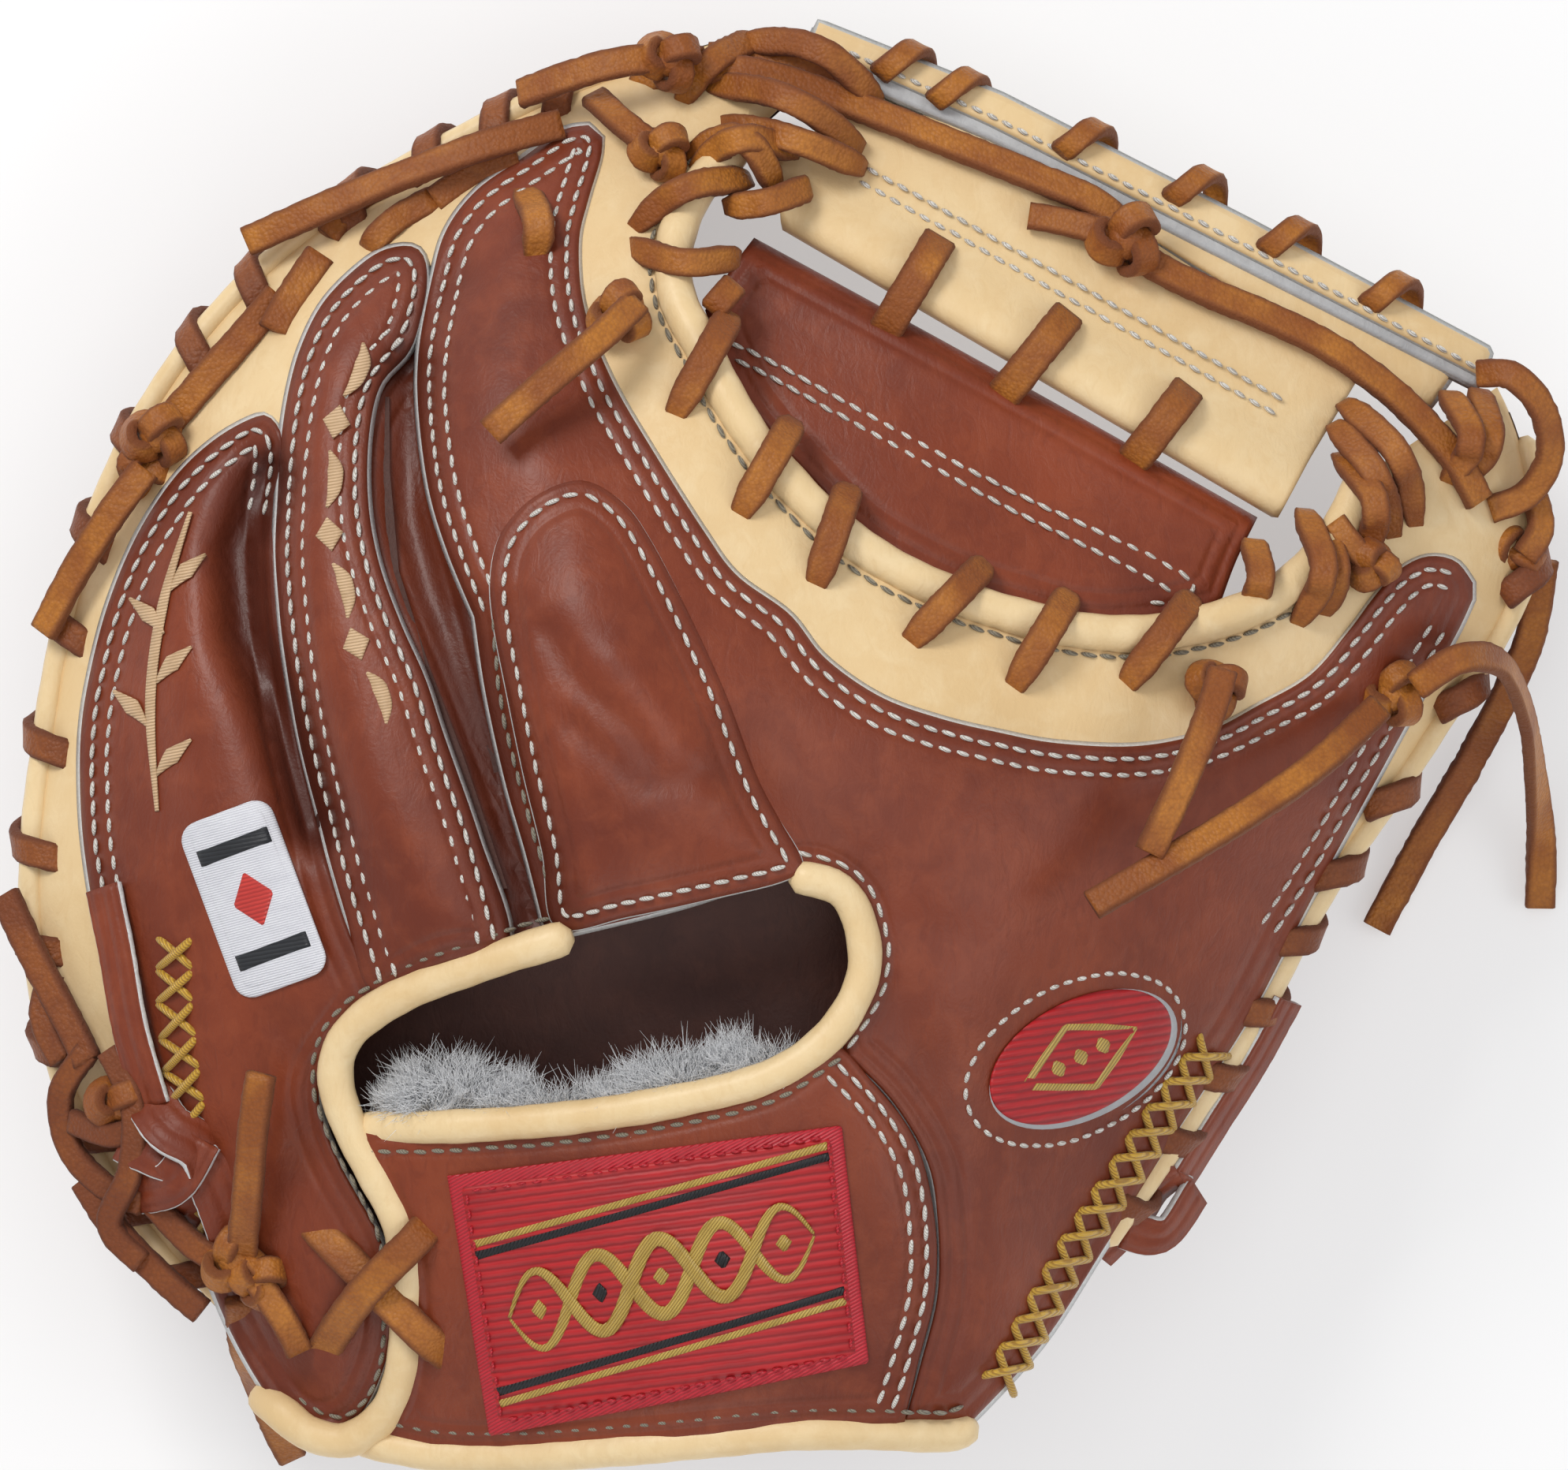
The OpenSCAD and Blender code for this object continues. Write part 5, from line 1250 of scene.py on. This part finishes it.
def ellipse(a, b, centre):
    around = np.linspace(0, 2 * np.pi, 60, endpoint=False)
    return turned([(a * math.cos(t), b * math.sin(t)) for t in around], centre, OV_TURN)


panel("thumb_badge", ellipse(18.9, 11.1, (54.8, -59.3)), RAW, lift=2.3, thick=1.1, puff=0.2, width=2,
      step=1.6, body=THUMB, hides=["thumb_badge"])
patch("thumb_badge_field", ellipse(18.1, 10.4, OV), RED, 3.2, 0.8, body=THUMB, puff=0.6)


def oval_at(u, v):
    return turned([(u, v)], OV, OV_TURN)[0]


ribbon("thumb_badge_lozenge", [(-11.5, 0), (-5.8, 3.2), (0, 6.2), (5.8, 3.2), (11.5, 0), (5.8, -3.2),
                               (0, -6.2), (-5.8, -3.2), (-11.3, -0.2)], (1.8, 1.8), GOLD, 4.1, oval_at, THUMB)
for i, x in enumerate((-4.6, 0, 4.6)):
    diamond = [(x - 1.9, 0), (x, 2.2), (x + 1.9, 0), (x, -2.2)]
    patch(f"thumb_badge_diamond_{i}", turned(diamond, OV, OV_TURN), GOLD, 4.1, 0.6, body=THUMB)
stitch(V(*ellipse(21.7, 13.8, (53.4, -59.4))), back_z, 2.9, length=2.2, gap=0.9, closed=True)


# ---------------------------------------------------------------- embroidered leaves and diamonds
def leafy(name, pts, widths, lift=3.5):
    line = spline(V(*pts), 0.8)
    w = np.interp(np.linspace(0, 1, len(line)), np.linspace(0, 1, len(widths)), widths)
    n = left_of(np.gradient(line, axis=0))
    out = np.vstack([line + n * w[:, None] / 2, (line - n * w[:, None] / 2)[::-1]])
    panel(name, out, SATIN, lift=lift, thick=0.5, puff=0.5, width=1.2, step=1.4, round_r=0.3, insets=(0.3,),
          body=HAND, wall_raw=False)


RING_LINE = spline(V((-84, 71), (-88.5, 57), (-90, 42.3), (-88, 28), (-84, 15), (-79, 1.7)) + V(6.5, 0), 0.8)
for i in range(7):
    last = len(RING_LINE) - 1
    at = int((0.06 + 0.145 * i) * last)
    c = RING_LINE[at]
    e = RING_LINE[min(at + 4, last)] - c
    e = e / np.linalg.norm(e)
    n = V(-e[1], e[0])
    if i % 2:
        pts = [c - e * 3.2, c + n * 2.6, c + e * 3.2, c - n * 2.6]
        patch(f"ring_finger_diamond_{i}", [tuple(p) for p in pts], SATIN, 3.6, 0.7)
    else:
        leafy(f"ring_finger_leaf_{i}", [c - e * 5, c - e * 2 + n * 1.2, c + e * 2 + n * 1.2, c + e * 5.5],
              [0.5, 3.0, 2.6, 0.5])
leafy("little_finger_vine", [(-109, 41), (-114, 24), (-116.3, 6), (-115, -14)], [0.8, 2.0, 2.0, 0.8], 3.4)
for i, (x, y, s) in enumerate(((-109.5, 30, 1), (-117, 22, -1), (-112, 13, 1), (-120, 5, -1), (-112, -4, 1))):
    leafy(f"little_finger_leaf_{i}", [(x - 3.2 * s, y - 3.4), (x - 0.6 * s, y - 0.2), (x + 3.4 * s, y + 3.2)],
          [0.5, 3.2, 0.5], 3.5)

# ---------------------------------------------------------------- fleece behind the wrist strap
FLEECE_LIFT = -7.5
FLEECE_OUT = spline([(-77, -71), (-73, -65), (-66, -61.5), (-58, -61.5), (-48, -64.5), (-38, -66),
                     (-30, -63.5), (-20, -59.5), (-10, -57.5), (-2, -58), (3, -62), (0, -66), (-21, -71.5),
                     (-41, -74.5), (-61, -76), (-76, -76)], 1.5, True)


def fluff(P, dist):
    x, y = P[:, 0], P[:, 1]
    waves = 1.1 * np.sin(x * 0.9 + 2 * np.sin(y * 0.7)) + 0.8 * np.sin(y * 1.3 + x * 0.35)
    return waves * smooth(dist / 3)


panel("wrist_fleece", FLEECE_OUT, FLEECE, surface=base_back, lift=FLEECE_LIFT, thick=2.5, puff=4.8, width=3.5,
      step=1.3, shape=fluff, hides=["wrist_fleece"], body=HAND, wall_raw=False)
tufts = Batch()
spots = FLEECE_OUT.mean(0) + (rng.random((60000, 2)) - 0.5) * V(100, 44)
spots = spots[inside(spots, FLEECE_OUT) & (spots[:, 1] > -72)][:13000]
roots = np.column_stack([spots, base_back(spots) + FLEECE_LIFT + 2.0
                         + 4.8 * (1 - np.exp(-(line_dist(spots, FLEECE_OUT, True) / 3.5) ** 1.5))])
for p in roots:
    lean = V(math.sin(p[0] * 0.31 + math.sin(p[1] * 0.8)), 0.9 + 0.4 * math.sin(p[0] * 0.5), 0.75)
    d = lean + rng.normal(0, 0.28, 3)
    d /= np.linalg.norm(d)
    bend = np.cross(d, rng.normal(0, 1, 3)) * 0.35
    L = rng.uniform(3.6, 6.6)
    q = [p + d * L * t + bend * L * t * t for t in (0, 0.5, 1.0)]
    tufts.add(*sweep(q, (0.3, 0.2, 1), round_section(0.10, 3)[0], np.zeros(3), taper=[1, 0.8, 0.2]))
tufts.make("wrist_fleece_tufts", FLEECE, HAND)

for kind, mat in (("white", WHITE_THREAD), ("grey", GREY_THREAD), ("cream", WHITE_THREAD), ("red", RED_EDGE)):
    if STITCHES[kind].v:
        STITCHES[kind].make("stitching_" + kind, mat)

# ---------------------------------------------------------------- floor and light
bpy.ops.mesh.primitive_plane_add(size=8, location=(0, 0, 0))
floor = bpy.context.object
floor.name = "floor"
GLOW, SKY = 0.42, 0.46
k = Nodes("floor")
k.set(Base_Color=k.mix(k.noise(3, 2, 0.5), (0.56, 0.56, 0.56), (0.54, 0.54, 0.545)), Roughness=0.9)
k.bsdf.inputs["Emission Color"].default_value = (1, 1, 1, 1)
k.bsdf.inputs["Emission Strength"].default_value = GLOW
floor.data.materials.append(k.m)
world = bpy.data.worlds.new("world")
bpy.context.scene.world = world
world.use_nodes = True
sky = world.node_tree.nodes["Background"]
sky.inputs[0].default_value = (0.98, 0.985, 1.0, 1)
sky.inputs[1].default_value = SKY


def light(name, at, power, size, colour=(1, 1, 1)):
    data = bpy.data.lights.new(name, "AREA")
    data.energy, data.size, data.color = power, size, colour
    obj = bpy.data.objects.new(name, data)
    bpy.context.scene.collection.objects.link(obj)
    obj.location = at
    aim = V(0, 0, 0.05) - V(*at)
    obj.rotation_euler = Vector(aim).to_track_quat("-Z", "Y").to_euler()


light("key", (-0.55, 0.75, 0.95), 8.6, 0.45, (1.0, 0.985, 0.96))
light("fill", (0.9, -0.2, 0.85), 2.6, 0.7, (0.97, 0.985, 1.0))
light("low", (-0.2, -0.9, 0.6), 1.8, 0.6)
light("top", (0.05, 0.1, 1.5), 3.2, 0.9)
